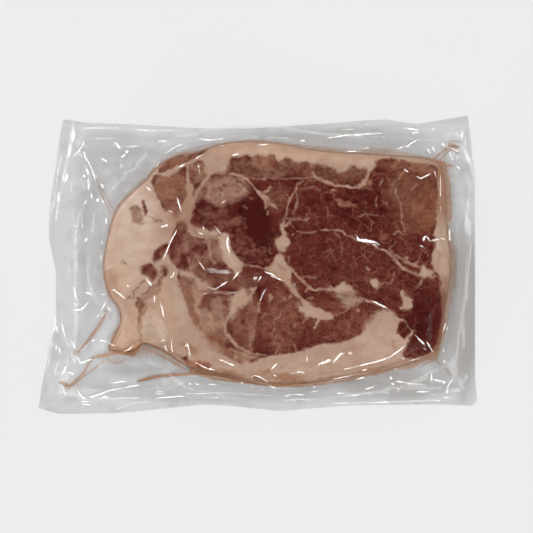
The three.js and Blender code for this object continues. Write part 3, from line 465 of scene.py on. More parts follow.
# Creases of the film, with their kind: first where it clings to the chop, and then where it
# lies loose round it.
CREASES = [
    ("fine", [
        [(-42, 71), (-39.5, 73), (-36, 75)], [(-53, 65.5), (-49, 67.5)], [(-40, 67.5), (-38.5, 61)],
        [(-54, 45), (-52, 38), (-51, 35.5)], [(-60, 36.5), (-57.5, 35.5)],
        [(-65, 25.5), (-60, 26.5)], [(-74.5, 52), (-71.5, 50)], [(-36.5, 26), (-36, 23.5)],
        [(-39.5, 21.5), (-36, 20)], [(-28.5, 25.5), (-24, 19.5)], [(-24, 41.5), (-22, 43)],
        [(-20, 19.5), (-20.5, 14.5), (-18.5, 6.5)], [(-39.5, 2), (-35.5, -3.5)],
        [(-32, -15.5), (-28.5, -16.5), (-20, -11)], [(-17, -10.5), (-14.5, -7.5), (-12.5, -4.5)],
        [(0, -11.5), (3, -7.5)], [(4.5, -4.5), (12.5, -7.5)], [(8.5, -7), (16.5, -10.5)],
        [(24.5, -12.5), (26, -14.5)], [(1.5, -24.5), (3, -20.5), (6.5, -15)],
        [(-18.5, -19), (-14, -18.5)], [(-36.5, -19.5), (-34, -19.5)], [(77, 14.5), (81, 11)],
        [(113, 19.5), (116.5, 15)], [(109, 13), (113, 11)], [(122.5, 18.5), (127, 16.5)],
        [(121, 15), (121.5, 10)], [(130.5, 24.5), (130.5, 16.5), (132, 7)],
        [(77.5, -24.5), (87, -29)], [(98.5, 64), (101.5, 62)],
        [(106.5, 59.5), (109.5, 58), (113, 59.5), (116.5, 61.5)], [(119, 63), (119.5, 59)],
        [(123, 60), (123, 45.5)], [(123, 40), (124, 34.5)], [(-54, 23.5), (-59, 14.5), (-64, 2)],
        [(-75.5, -8.5), (-71, -14.5)], [(-56, -4.5), (-57, -7.5), (-59, -9)],
        [(-87, -13), (-87.5, -15)], [(-99, -17.5), (-96, -17.5), (-89, -23)],
        [(-69.5, -21), (-69, -25)], [(-65.5, -25.5), (-64, -30.5), (-63, -36)],
        [(-65, -51.5), (-62, -50.5)], [(-63, -54), (-61, -58.5)],
        [(-57.5, -50), (-58, -54), (-57.5, -59.5)], [(-49.5, -55.5), (-47, -53.5), (-45, -62.5)],
        [(-42.5, -65.5), (-34, -70), (-28.5, -71)], [(-26, -63.5), (-15, -68)],
        [(9, -70.5), (13, -66.5)], [(10.5, -74), (12.5, -75)],
        [(21.5, -73.5), (29, -72), (32, -73)], [(33, -61.5), (33.5, -65.5)],
        [(57.5, -70.5), (68.5, -68), (82, -64.5), (89, -62), (96.5, -56.5), (98.5, -54.5)],
        [(105.5, -47), (112.5, -54.5)], [(113.5, -51.5), (116, -56), (118.5, -59.5)],
        [(97, -62.5), (98.5, -63.5)], [(69.5, -71.5), (74, -70.5)], [(-17, 73.5), (-12.5, 74.5)],
        [(0, 80.5), (7.5, 81.5)], [(28.5, 84.5), (32.5, 84.5)],
    ]),
    ("bold", [
        [(66, 19.5), (68, 16.5), (79, 15), (82, 13)], [(111, 16), (113, 19.5)],
        [(116.5, 16), (122, 17)], [(-3, -9.5), (-0.5, -8.5)],
        [(40.5, -68.5), (42, -66.5), (49.5, -64)], [(50.5, -66), (56, -60), (58, -59.5)],
        [(60.5, -59.5), (64, -59.5)],
    ]),
    ("soft", [[(-34, -3.5), (-26.5, -5), (-18.5, -5)]]),
    ("fine", [
        [(-61.5, 73.5), (-48.5, 80.5)], [(-69.5, 66), (-67, 69.5), (-64, 71)],
        [(-77, 58), (-70, 62)], [(-93.5, 73), (-90.5, 75.5)], [(-107, 73), (-102.5, 70)],
        [(-119, 85), (-120, 81), (-123, 77), (-126, 74)],
        [(-119, 78), (-117.5, 73), (-115, 69), (-112.5, 63), (-110.5, 57)],
        [(-117, 66), (-115.5, 61)], [(-119.5, 61), (-117.5, 60)], [(-107, 55), (-105.5, 52.5)],
        [(-114, 49), (-113, 45)], [(-106.5, 44), (-105, 41.5)], [(-117, 44), (-118.5, 41.5)],
        [(-103.5, 32), (-103, 27)], [(-119.5, 28), (-120, 25.5)], [(-106.5, 17), (-105.5, 13.5)],
        [(-107, 8), (-106.5, 2)], [(-106, -0.5), (-105, -2.5)], [(-93.5, 68.5), (-93, 66.5)],
        [(-88.5, 80.5), (-80.5, 81.5)], [(-68, 84.5), (-62, 84.5)],
        [(-41.5, 86), (-32.5, 85), (-22.5, 86)], [(-29, 79.5), (-22.5, 81.5), (-10, 85)],
        [(47, 86.5), (60, 88.5), (70, 89), (85, 90)], [(59.5, 77), (70, 77)],
        [(70, 78.5), (76.5, 80)], [(95, 78.5), (98.5, 80.5), (102.5, 81), (106, 84), (109.5, 85.5)],
        [(100, 93.5), (105, 92.8), (110, 92)], [(105, 90), (110, 90.5)],
        [(115.5, 79.5), (117.5, 75.5)], [(119.5, 81), (120.5, 77)], [(132.5, 79.5), (138, 77)],
        [(123.5, 73), (126.5, 71)], [(135.5, 68), (138, 65.5)], [(126, 83), (128, 80.5)],
        [(-126, -14), (-125, -19), (-124, -23.5)],
        [(-126, -31), (-122, -31), (-118.5, -29), (-116.5, -26.5), (-115.5, -25)],
        [(-117.5, -19), (-115, -19.5), (-113.5, -21)], [(-106.5, -20.5), (-102.5, -20.5)],
        [(-100, -20.5), (-99, -19.5)], [(-103, -25), (-105, -28), (-107, -31.5)],
        [(-102.5, -28), (-101.5, -31.5)], [(-100.5, -28.5), (-101, -32)],
        [(-138, -36), (-139, -42), (-140, -47)], [(-138, -42), (-137, -46)],
        [(-134, -40), (-133, -45), (-131.5, -50)], [(-138.5, -54), (-137.5, -58)],
        [(-136, -56), (-135.5, -60)], [(-129, -53), (-127, -53), (-124.5, -57.5)],
        [(-113, -52), (-111.5, -51.5)], [(-108.5, -52), (-105, -52), (-96, -55.5)],
        [(-92, -59.5), (-87, -57.5), (-84, -54)],
        [(-124, -62.5), (-122, -65), (-121, -67.5), (-117, -65.5), (-113, -64.5)],
        [(-129.5, -68.5), (-132, -71), (-133.5, -76)], [(-129, -73.5), (-126, -75)],
        [(-133, -83.5), (-132.5, -87), (-130, -90)],
        [(-124, -85), (-122, -88), (-120, -91), (-116, -92.5)], [(-121, -93.5), (-114, -94)],
        [(-120, -95.5), (-114.5, -96)],
        [(-116, -91), (-108, -88.5), (-103, -86.5), (-96, -85), (-90, -84), (-80, -82)],
        [(-99.5, -81), (-89.5, -79.5)], [(-108, -91), (-104, -90), (-102, -91.5)],
        [(-70, -91.5), (-60, -90.5), (-50, -90)], [(-34, -91.5), (-27, -91)],
        [(-47.5, -81), (-45, -82)], [(-43, -81), (-40, -82)], [(-34, -81.5), (-28, -82)],
        [(-30.5, -76.5), (-17.5, -78.5)], [(-12, -80), (-9.5, -81)],
        [(-4.5, -76.5), (-2.5, -74.5), (1.5, -75.5), (7, -80)],
        [(7.5, -82), (12, -84), (23.5, -83.5)], [(-4, -82), (-3.5, -84)], [(3, -84.5), (3, -85.5)],
        [(18, -90), (24, -88.5), (32, -89)], [(36, -87), (41, -86)], [(50, -78), (65, -74.5)],
        [(66.5, -78), (73, -76.5)], [(54, -88), (59.5, -88)], [(73, -85.5), (80, -83)],
        [(63, -89.5), (68.5, -89.5)], [(80, -94.5), (90, -94)],
        [(125, -46.5), (126.5, -43), (128, -39)], [(128.5, -44.5), (129, -42.5)],
        [(126.5, -57), (127, -59.5)], [(127, -65), (127.5, -67)], [(91, -81), (93, -82)],
        [(94.5, -84), (97, -86)], [(93.5, -79.5), (104.5, -81.5), (114, -82)],
        [(118.5, -74.5), (118.5, -80)], [(119, -78), (126.5, -80)],
        [(129, -86), (130.5, -82), (134, -78)], [(108, -87), (117.5, -87)],
        [(117.5, -88.5), (121.5, -88.5)], [(126.5, -90.5), (131, -91)],
        [(102.5, -64.5), (107.5, -64.5), (109.5, -62.5)], [(91.5, -70), (94.5, -71)],
        [(111, -55), (113.5, -57.5)],
    ]),
    ("faint", [
        [(-134, 75), (-136.5, 65), (-138, 55)], [(-132, 66), (-134, 55)],
        [(-139.5, 45), (-141, 35)], [(-137, 40), (-138, 30)], [(-120, 93.5), (-95, 93.5)],
        [(-85, 92.5), (-72, 91.5), (-58, 92)], [(142, 88), (142, 80), (145, 73)],
        [(147, 80), (147, 70)], [(144, 46), (144.5, 36)], [(145, 30), (145.5, 20)],
        [(-109.5, 15), (-108.5, 9)], [(-90, 65), (-91, 60)], [(-112, 86), (-98, 86.5)],
        [(-113.5, -11.5), (-110.5, -11.5)], [(-108, -34), (-111, -36)],
        [(-139, -42), (-141, -50), (-143, -60), (-146, -72), (-148, -80)],
        [(-140, -52), (-142, -62), (-144, -70)], [(-137, -73.5), (-135.5, -76)],
        [(-122, -59), (-119, -57.5), (-116, -54.5)], [(-98, -91.5), (-80, -91.5)],
        [(-97, -99), (-88, -95.5), (-76, -93.5)], [(-120, -87), (-109, -85)],
        [(-72, -89), (-63, -88)], [(-70, -87), (-64, -86.5)],
        [(-50, -88), (-38, -88.5), (-25, -87.5), (-15, -88), (0, -89), (12, -89.5)],
        [(8, -84), (13, -87)], [(17, -93), (30, -92), (36, -92)], [(50, -95), (80, -94.5)],
        [(60, -90), (70, -89), (80, -87), (90, -87.5)], [(90, -94), (118, -93), (126, -93)],
        [(146, 15), (143, -15), (143, -25)], [(139.5, -75), (140, -81)], [(142.5, -75), (143, -79)],
        [(131.5, 58.5), (135, 58.5)], [(136.5, 74), (136.5, 72)], [(128.5, 88), (129, 86)],
        [(58, 92), (66, 93)], [(72, 95.5), (77, 97)], [(-10, 86), (0, 86.5)],
        [(8, 86.5), (22, 86.5)], [(118, 92.5), (122, 93.5)], [(136, 30.5), (136.5, 20.5)],
        [(140.5, 73), (143, 69)], [(-21, -85.5), (-17, -84)], [(-127, 58), (-128, 49)],
        [(-122, 36), (-123, 25)], [(-112, 36), (-113, 24)], [(-123, 8), (-124, -4)],
        [(-111, 0), (-112, -8)],
    ]),
    ("bold", [
        [(-126.5, 92), (-127, 84)], [(-128, 82), (-130, 73)], [(-136.5, 49), (-136, 42.5)],
        [(-133, 60.5), (-133, 58)], [(-130.5, 62), (-131.5, 57)],
        [(-63.5, 75.5), (-56, 80.5), (-51.5, 82.5)], [(-98, 84), (-94, 79)],
        [(-90, 78), (-89, 76.5)], [(-116, 59), (-115.5, 56), (-116, 51)],
        [(-117, 18.5), (-117.5, 16)], [(-109.5, 45), (-109.5, 43)], [(131, 77), (133.5, 71)],
        [(90.5, -76), (91, -78)], [(38, -84), (39.5, -82.5)], [(127, -79.5), (127.5, -81)],
        [(129.5, -86), (129.5, -88)], [(139.5, 90), (139.5, 86.5)],
    ]),
]

# Pale and dark bands of the loose film: the pale ones are milky streaks, painted pale where the
# film shows a soft sheen, so partly a painted sheen; the dark ones are where it is folded or
# clouded. Strength, and points with the band's width at each.
MILKY_SHEEN_BANDS = [
    (0.75, [(-126.5, 96, 2), (-127, 88, 4), (-128.5, 79, 3.5), (-130.5, 70, 2.5), (-132.5, 61, 3.5),
        (-134, 56, 1)]),
    (0.6, [(-135, 75, 1), (-137, 64, 1.2), (-138.5, 52, 1.2), (-140, 41, 1.6), (-141.5, 30, 0.8)]),
    (0.6, [(-131, 62, 1), (-133.5, 54, 1.2), (-136.5, 47, 3.2), (-136.5, 42, 2), (-138, 30, 0.8)]),
    (0.45, [(-122, 93.5, 2), (-100, 93.5, 2.2), (-85, 92.5, 2.2), (-72, 91.5, 2.5), (-55, 92, 2.2),
        (-35, 92.5, 1.5), (-10, 92, 1)]),
    (0.25, [(-119, 40, 1), (-120.5, 33, 1.5), (-120, 26, 1)]),
    (0.3, [(-138.5, -38, 1), (-139, -46, 2), (-141, -54, 1)]),
    (0.25, [(-142, -56, 1), (-145, -68, 1), (-148, -82, 1)]),
    (0.3, [(-124, -88, 3), (-114, -92, 4), (-104, -91, 2.5)]),
    (0.3, [(-100, -95, 1.5), (-85, -94, 2), (-70, -94, 1)]),
    (0.8, [(139.5, 80, 1.5), (141.5, 77, 3), (144, 72, 3.5), (146.5, 68, 2), (147.5, 60, 1)]),
    (0.35, [(145, 92, 2), (146, 84, 2), (147, 76, 2)]),
    (0.7, [(142, 38, 1), (143, 33, 2.5), (144, 26, 4), (144.5, 21, 3), (146, 12, 1)]),
    (0.3, [(143, 62, 2), (145, 50, 3), (143, 36, 2)]),
    (0.8, [(137, 87, 0.5), (138.8, 89.5, 3), (139.5, 92.5, 1)]),
    (0.3, [(70, 94, 1), (76, 96.5, 1.5)]),
    (0.25, [(45, 93, 1.5), (60, 94.5, 1.5)]),
    (0.2, [(60, -94.5, 1.5), (90, -94, 2), (122, -93, 2)]),
    (0.25, [(-50, -90, 1.5), (-30, -90.5, 2), (-10, -91.5, 1.5)]),
    (0.25, [(20, -92.5, 1.2), (36, -91.5, 1.5)]),
]
DARK_BANDS = [
    (0.35, [(-116, 48, 1.5), (-117.5, 30, 2), (-118, 10, 2), (-118, -30, 2), (-117, -50, 1.5)]),
    (0.3, [(-117, 88, 3), (-100, 88, 4), (-85, 88.5, 3)]),
    (0.35, [(-10, 88.5, 1.5), (20, 88, 3), (45, 88, 3), (60, 90, 2.5), (80, 94, 1.5), (95, 95, 1),
        (108, 93.5, 1)]),
    (0.3, [(137.5, 45, 1), (138, 20, 1.5), (138.5, -20, 1.5)]),
]

# Juice pressed between the films, with how much it hides: pools as closed outlines, and runs in
# the creases as lines with their width.
JUICE_POOLS = {
    "right_top": (0.3, [(122, 69), (128, 69), (130.5, 62), (132, 55), (132.5, 46), (132.5, 33),
        (131, 28), (126, 30), (120, 34), (120, 60)]),
    "right_low": (0.12, [(120, 33), (126, 30), (131, 28), (133.5, 20), (135, 8), (134.5, -6),
        (120, -8)]),
    "right_mid": (0.18, [(134.5, 14), (136, 5), (135.5, -12), (133, -22), (130.5, -34), (127, -50),
        (122, -66), (112, -70), (112, -40), (122, 0)]),
    "top_lens": (0.22, [(66, 78.5), (76.5, 80.5), (85, 80), (97, 77.5), (106, 76), (99, 71),
        (83.5, 70), (71, 73)]),
    "top_right": (0.42, [(89, 74), (97, 74.5), (105.5, 74), (114.5, 73), (124, 71.5), (135.5, 67.5),
        (126, 65.5), (117.5, 62), (97, 66)]),
    "bottom_right": (0.35, [(87, -70.5), (94, -72.5), (98.5, -72), (106, -70.5), (114.5, -66),
        (122.5, -66), (124.5, -55), (114.5, -58.5), (97, -65)]),
    "bottom_lens": (0.25, [(59.5, -72.5), (70, -71.5), (94, -69), (94, -72), (76.5, -76),
        (63, -77.5), (42.5, -79), (29, -79)]),
    "bottom": (0.4, [(-12, -74.5), (1.5, -77.5), (22, -79), (49.5, -77.5), (49.5, -80), (29, -82.5),
        (8.5, -82.5), (-5.5, -79.5), (-15, -77)]),
    "tail": (0.75, [(-98, -59), (-88, -57), (-78, -54.5), (-80, -59.5), (-84, -63), (-88, -63),
        (-95, -61.5)]),
    "tail_tip": (0.45, [(-113.5, -63.5), (-108, -61), (-98, -58), (-94, -59), (-93, -62),
        (-100, -62.5), (-107, -64)]),
    "bubble": (0.06, [(-102, -63), (-97, -62.5), (-91, -63), (-92.5, -66.5), (-98, -67),
        (-101.5, -65.5)]),
    "pocket": (0.1, [(-84.5, -60), (-77, -53.5), (-66, -56), (-70, -61), (-75, -64), (-81, -64.5)]),
}
JUICE_RUNS = {
    "notch": (0.42, [(-77, -57, 1.5), (-68, -60.5, 1.8), (-59, -65.5, 1.8), (-50, -71, 1.5)]),
    "back_edge": (0.3, [(24, 81.5, 1), (45, 79.3, 1.6), (68, 77, 1.2)]),
    "corner_a": (0.16, [(-109, 54.5, 0.6), (-106.5, 47.5, 0.8), (-103.5, 42, 1), (-101, 36.5, 1),
        (-98, 33.5, 1)]),
    "corner_b": (0.14, [(-112, 63.5, 0.6), (-108.5, 55, 0.6), (-102.5, 45.5, 0.8),
        (-97.5, 35.5, 1)]),
    "left_side": (0.12, [(-104.5, -6, 1.2), (-103.5, 8, 1.2), (-100.5, 25, 1.4), (-96, 37, 1.4),
        (-88, 48, 1.2), (-78, 58.5, 1)]),
    "flap_a": (0.32, [(-103.5, -31, 0.8), (-105, -36, 1.3), (-108, -41, 1.3), (-112, -46.5, 1.6),
        (-117, -53, 1.2), (-122, -59, 0.7), (-125.5, -61.5, 0.5)]),
    "flap_b": (0.32, [(-108, -62, 0.8), (-112.5, -63.5, 0.8), (-115.5, -67.5, 0.7),
        (-117.5, -71, 0.7), (-120, -75, 0.7), (-124, -79, 0.9), (-127.5, -82, 1.2)]),
    "flap_c": (0.26, [(-105, -66, 0.5), (-109, -69, 0.6), (-114, -72.5, 0.6), (-119, -76.5, 0.6),
        (-124, -80, 0.7), (-128, -83, 1)]),
    "flap_fill": (0.08, [(-117, -72, 1), (-122, -77, 2.5), (-127, -81.5, 3)]),
    "flap_blob": (0.4, [(-135.5, -80.5, 0.8), (-132, -81.5, 1.6), (-129.5, -83.5, 2.4)]),
    "bubble_rim": (0.35, [(-103, -63.5, 0.5), (-101, -66, 0.5), (-97, -67.3, 0.5), (-93, -67, 0.5),
        (-90.5, -64, 0.5)]),
    "front_line": (0.7, [(-82, -79.5, 0.6), (-76, -78, 1.2), (-67, -76, 1.5), (-55.5, -75, 1.5),
        (-44, -74, 1.7), (-36, -74.5, 1.2)]),
    "right_line_a": (0.22, [(118, -62.5, 1), (124.5, -67.5, 0.8), (129.5, -72.5, 0.7),
        (133, -76, 0.5)]),
    "right_line_b": (0.15, [(121, -64, 0.7), (127, -70, 0.6), (133, -76, 0.5)]),
    "back_line_a": (0.3, [(119.5, 71.5, 1.2), (125, 76.5, 1), (130.5, 80.5, 1)]),
    "back_line_b": (0.2, [(123.5, 70, 0.8), (128, 75, 0.7), (131, 79, 0.7)]),
    "back_blob": (0.3, [(131, 82, 1), (134, 81, 1.8), (137, 80.5, 1.4)]),
    "back_thin": (0.18, [(132, 79, 0.8), (135, 77.5, 0.8), (138, 75.5, 0.6)]),
    "back_top": (0.15, [(131, 84, 0.8), (135, 84.5, 0.8), (139, 84, 0.6)]),
    "front_rim": (0.5, [(-46, -72.5, 1.2), (-39.5, -74.5, 1.6), (-29, -77.5, 1.6),
        (-17.5, -79, 1.4), (-5.5, -80.5, 1.2), (12, -82.5, 1.2), (29, -82.5, 1.2), (49.5, -80.5, 1),
        (70, -77, 1)]),
    "front_dark_a": (0.85, [(-46, -71.5, 0.8), (-36, -74, 1.2), (-24, -76, 1.4), (-12, -78.5, 1.2),
        (-3, -80.5, 1.5), (6, -82, 0.8), (12, -82, 0.6)]),
    "front_dark_b": (0.8, [(8, -81, 0.6), (20, -81.5, 1), (32, -80.5, 1), (46, -79, 0.7)]),
    "front_dark_c": (0.7, [(52, -78, 0.5), (70, -75, 0.6), (90, -71.5, 0.5)]),
    "back_rim": (0.1, [(-67, 69, 1.2), (-56.5, 75.5, 1.2), (-43, 79, 1), (-29, 83, 0.8)]),
}
RIM_JUICE = 0.26  # how much the juice that hems the chop hides
UNDER_CHOP = 0.6  # how far the juice reaches in over the chop's rim

# Folds of the film that run along the edge, as (distance from it, rise), and those that cross
# the loose film from the corners to the chop.
EDGE_FOLDS = [(10, 0.5), (17, 0.4)]
EDGE_FOLD_WIDTH = 1.8
CROSS_FOLDS = [
    [(-121, 79), (-112, 60), (-105, 45), (-98, 35)],
    [(-101, -32), (-109, -45), (-118, -55), (-124, -60)],
    [(-97, -62), (-112, -76), (-129, -83)],
    [(120, 70), (131, 80), (142, 92)],
    [(122, -60), (134, -76), (146, -92)],
]
CROSS_FOLD_RISE = 0.6
CROSS_FOLD_WIDTH = 2.5

# Ovals where the loose film is made darker: middle, half sizes, turn and share.
DARKER_FILM = [
    (141, -30, 13, 62, 0, 0.85), (95, -82, 45, 10, 0, 0.65), (126, -62, 9, 22, 0, 0.6),
    (-80, -68, 26, 9, 8, 0.5), (-98, 68, 26, 24, 0, 0.35), (-20, -86, 90, 9, 0, 0.4),
    (-113, 10, 9, 60, 0, 0.3), (60, 85, 65, 8, 0, 0.5),
]


# ---- fields over the plane

NOISE_CELLS = 256
REACH = 25.0  # distances are followed this far
FAR = 60.0  # and those to the chop's and the pouch's outlines this far


def smooth_step(low, high, value):
    share = np.clip((value - low) / (high - low), 0, 1)
    return share * share * (3 - 2 * share)


def hump(value, width):
    """1 where a value is 0, sinking to nothing on both sides."""
    return np.exp(-((value / width) ** 2))


def noise(x, y, size, seed):
    """Smooth unevenness from -1 to 1 over the plane, in bumps of that size."""
    table = np.random.default_rng(seed).uniform(-1, 1, (NOISE_CELLS, NOISE_CELLS))
    u, v = x / size, y / size
    i, j = np.floor(u).astype(int), np.floor(v).astype(int)
    a, b = u - i, v - j
    a, b = a * a * (3 - 2 * a), b * b * (3 - 2 * b)
    i, j, right, up = (k % NOISE_CELLS for k in (i, j, i + 1, j + 1))
    lower = table[i, j] * (1 - a) + table[right, j] * a
    upper = table[i, up] * (1 - a) + table[right, up] * a
    return lower * (1 - b) + upper * b


def bent(x, y, *waves):
    """Points of the plane pushed about by waves: how far, the wave's size and its two seeds."""
    bent_x, bent_y = x, y
    for far, size, seed_x, seed_y in waves:
        bent_x = bent_x + far * noise(x, y, size, seed_x)
        bent_y = bent_y + far * noise(x, y, size, seed_y)
    return bent_x, bent_y


def slopes(field, x, y, probe):
    """How steeply a field rises along X and along Y."""
    along_x = (field(x + probe, y) - field(x - probe, y)) / (2 * probe)
    along_y = (field(x, y + probe) - field(x, y - probe)) / (2 * probe)
    return along_x, along_y


def distance(x, y, line, closed=False, reach=REACH):
    """How far points lie from a line, up to reach, less half its width where it has one."""
    places = np.array([point[:2] for point in line], float)
    halves = np.array([point[2] / 2 if len(point) > 2 else 0.0 for point in line])
    low, high = places.min(0) - reach, places.max(0) + reach
    near = (x > low[0]) & (x < high[0]) & (y > low[1]) & (y < high[1])
    px, py = x[near], y[near]
    best = np.full(px.shape, float(reach))
    for i in range(len(places) if closed else len(places) - 1):
        j = (i + 1) % len(places)
        start, along = places[i], places[j] - places[i]
        squared = max(along @ along, 1e-9)
        share = ((px - start[0]) * along[0] + (py - start[1]) * along[1]) / squared
        share = np.clip(share, 0, 1)
        away = np.hypot(px - start[0] - share * along[0], py - start[1] - share * along[1])
        best = np.minimum(best, away - halves[i] - share * (halves[j] - halves[i]))
    result = np.full(x.shape, float(reach))
    result[near] = best
    return result


def inside(x, y, outline):
    result = np.zeros(x.shape, bool)
    for (ax, ay), (bx, by) in zip(outline, outline[1:] + outline[:1]):
        if ay != by:
            result ^= ((ay > y) != (by > y)) & (x < ax + (y - ay) * (bx - ax) / (by - ay))
    return result


def within(x, y, outline, reach=REACH):
    """Distance to a closed outline, up to reach: positive inside it and negative outside."""
    away = distance(x, y, outline, True, reach)
    return np.where(inside(x, y, outline), away, -away)


def soft_oval(x, y, shape, full, none):
    """1 in an oval's middle, fading to 0 between two shares of its size."""
    at_x, at_y, half_x, half_y, turn = shape
    angle = math.radians(turn)
    dx, dy = x - at_x, y - at_y
    across = (dx * math.cos(angle) + dy * math.sin(angle)) / half_x
    along = (dy * math.cos(angle) - dx * math.sin(angle)) / half_y
    return 1 - smooth_step(full, none, np.hypot(across, along))


def spread(x, y, ovals):
    """The largest share of the soft ovals over each point."""
    most = np.zeros(x.shape)
    for *shape, share in ovals:
        most = np.maximum(most, share * soft_oval(x, y, shape, 0.6, 1.25))
    return most


def smooth_outline(points, steps):
    """The closed centripetal curve through points, as (x, y) pairs."""
    p = np.array(points, float)
    made = []
    for i in range(len(p)):
        a, b, c, d = (p[(i + k) % len(p)] for k in (-1, 0, 1, 2))
        before, here, after = (np.linalg.norm(e) ** 0.5 for e in (b - a, c - b, d - c))
        leave = ((b - a) / before - (c - a) / (before + here)) * here + c - b
        arrive = ((d - c) / after - (d - b) / (here + after)) * here + c - b
        for t in np.arange(steps) / steps:
            made.append(
                b * (2 * t**3 - 3 * t**2 + 1) + leave * (t**3 - 2 * t**2 + t)
                + c * (3 * t**2 - 2 * t**3) + arrive * (t**3 - t**2)
            )
    return [tuple(point) for point in made]


CHOP_CURVE = smooth_outline(CHOP_OUTLINE, CURVE_STEPS)


def chop_depth(x, y):
    """How far inside the chop's outline points lie, negative outside it."""
    return within(x, y, CHOP_CURVE, FAR)


def pouch_depth(x, y):
    return within(x, y, POUCH_OUTLINE, FAR)


# ---- heights of the chop


def chop_thickness(x, y):
    settings = bpy.context.scene.pork_chop
    full, tail = settings.thickness / MM, settings.tail_thickness / MM
    from_tip = np.hypot(x - TAIL_TIP[0], y - TAIL_TIP[1])
    return tail + (full - tail) * smooth_step(0, TAIL_REACH, from_tip)


def chop_top(x, y, depth, seams=SEAMS):
    """Height of the cut face, with its muscles, seams and fat, even along the rim."""
    relief = UNEVEN * np.sin(x / 11) * np.sin(y / 9 + x / 40)
    for *shape, rise in BULGES:
        relief += rise * soft_oval(x, y, shape, 0.55, 1.1)
    for seam in seams:
        relief -= SEAM_DEPTH * hump(distance(x, y, seam), SEAM_WIDTH)
    return chop_thickness(x, y) + relief * smooth_step(3, 14, depth)


def chop_surface(x, y, depth, seams=SEAMS):
    """Height of the chop's skin from above: the cut face, rounded down to the widest part."""
    top = chop_top(x, y, depth, seams)
    widest = WIDEST * top
    lean = 1 - np.clip(depth / UPPER_ROUND, 0, 1)
    return widest + (top - widest) * np.sqrt(1 - lean**2)


# ---- heights of the film

FILM_CLEAR = 0.35  # how far the film stands off the chop's face, over its fine relief
LEAST_FILM = 0.3
SEAL_HEIGHT = 0.6
POCKET_RISE = 1.4
STREAKS = (3.6, 70, 21)  # pitch, run and seed of the ripples that its clearness follows too
GATHER_REACH = 6  # pleats stand round the chop at this distance from it
ROUND_ABOUT = (20, 95)  # pleats point to 20 mm left of the origin, 95 mm of arc to a radian


def along_edges(x, y, pitch, run, seed):
    """Ripples that run along the pouch's nearest edge: their pitch across it and run along it."""
    end = smooth_step(-8, 8, np.abs(x) - np.abs(y) - 48)
    across_ends = noise(x, y * pitch / run, pitch, seed)
    across_sides = noise(x * pitch / run, y, pitch, seed + 1)
    return end * across_ends + (1 - end) * across_sides


def arc(x, y):
    """How far round the chop points lie, along an arc."""
    return ROUND_ABOUT[1] * np.arctan2(y, x + ROUND_ABOUT[0])


def crumple(x, y, size, seed):
    """Sharp-backed creases that part flatter cells of that size, from 0 to 1."""
    bent_x, bent_y = bent(x, y, (0.3 * size, size, seed + 1, seed + 2))
    return (1 - np.abs(noise(bent_x, bent_y, size, seed))) ** 3


def loose_film(x, y, away, edge):
    """Height of the film round the chop, from its distance and that to the pouch's edge."""
    free = smooth_step(SEAL_WIDTH - 4, SEAL_WIDTH + 14, edge)
    height = SEAL_HEIGHT + POCKET_RISE * free
    for place, rise in EDGE_FOLDS:
        wander = place + 2.5 * noise(x, y, 26, place)
        fade = np.maximum(noise(x, y, 17, place + 1), 0)
        height += rise * fade * hump(edge - wander, EDGE_FOLD_WIDTH)
    for fold in CROSS_FOLDS:
        height += CROSS_FOLD_RISE * free * hump(distance(x, y, fold), CROSS_FOLD_WIDTH)
    height += 0.06 * along_edges(x, y, 1.8, 60, 11)
    height += (0.05 + 0.13 * free) * along_edges(x, y, *STREAKS)
    height += 0.2 * free * along_edges(x, y, 9, 60, 31)
    height += free * (0.3 * crumple(x, y, 19, 41) + 0.1 * crumple(x, y, 8, 51))
    return height + 0.35 * noise(arc(x, y), away * 0.15, 5, 61) * hump(away - GATHER_REACH, 5)


def film_height(x, y, creased=True):
    """Height of the upper film: over the chop, down its side and out to the seal."""
    depth, edge = chop_depth(x, y), pouch_depth(x, y)
    away = np.maximum(-depth, 0)
    contact = CONTACT * chop_thickness(x, y)
    share = (1 - np.minimum(away / TENT_REACH, 1)) ** 2
    height = loose_film(x, y, away, edge) * (1 - share) + contact * share
    over = chop_surface(x, y, np.maximum(depth, 0), ()) + FILM_CLEAR
    height = np.where(depth > 0, np.maximum(over, contact), height)
    if creased:
        height += crease_field(x, y)[0] * bpy.context.scene.film_pouch.crease_slope
    return np.maximum(height, LEAST_FILM)


# Kinds of crease: width of its steep flank, and how brightly the flank gleams.
CREASE_KINDS = {"fine": (0.8, 1.0), "faint": (0.8, 0.28), "bold": (1.6, 1.0), "soft": (2.8, 0.4)}
CREASE_END = 3  # a crease gets narrower over this length, and is this share as wide and bright
END_WIDTH = 0.35
END_GLEAM = 0.3
SLOW_FLANK = 3.5  # how much wider the other flank of a crease is
FACET_SLOPE = 0.31  # lean of the middle of the steep flank
FACET_ROUND = 0.11  # and how much it bends either way from there
LIGHTS = 7
LIGHT_AZIMUTHS = tuple(90 + 360 / LIGHTS * turn for turn in range(LIGHTS))


def nearest_light(azimuth):
    """How far the nearest lamp's azimuth is from an azimuth, and which it is, in degrees."""
    return min((abs((azimuth - light + 180) % 360 - 180), light) for light in LIGHT_AZIMUTHS)


def crease_lines():
    """Every crease: its kind's width and gleam, and its points."""
    for kind, lines in CREASES:
        for line in lines:
            yield *CREASE_KINDS[kind], line


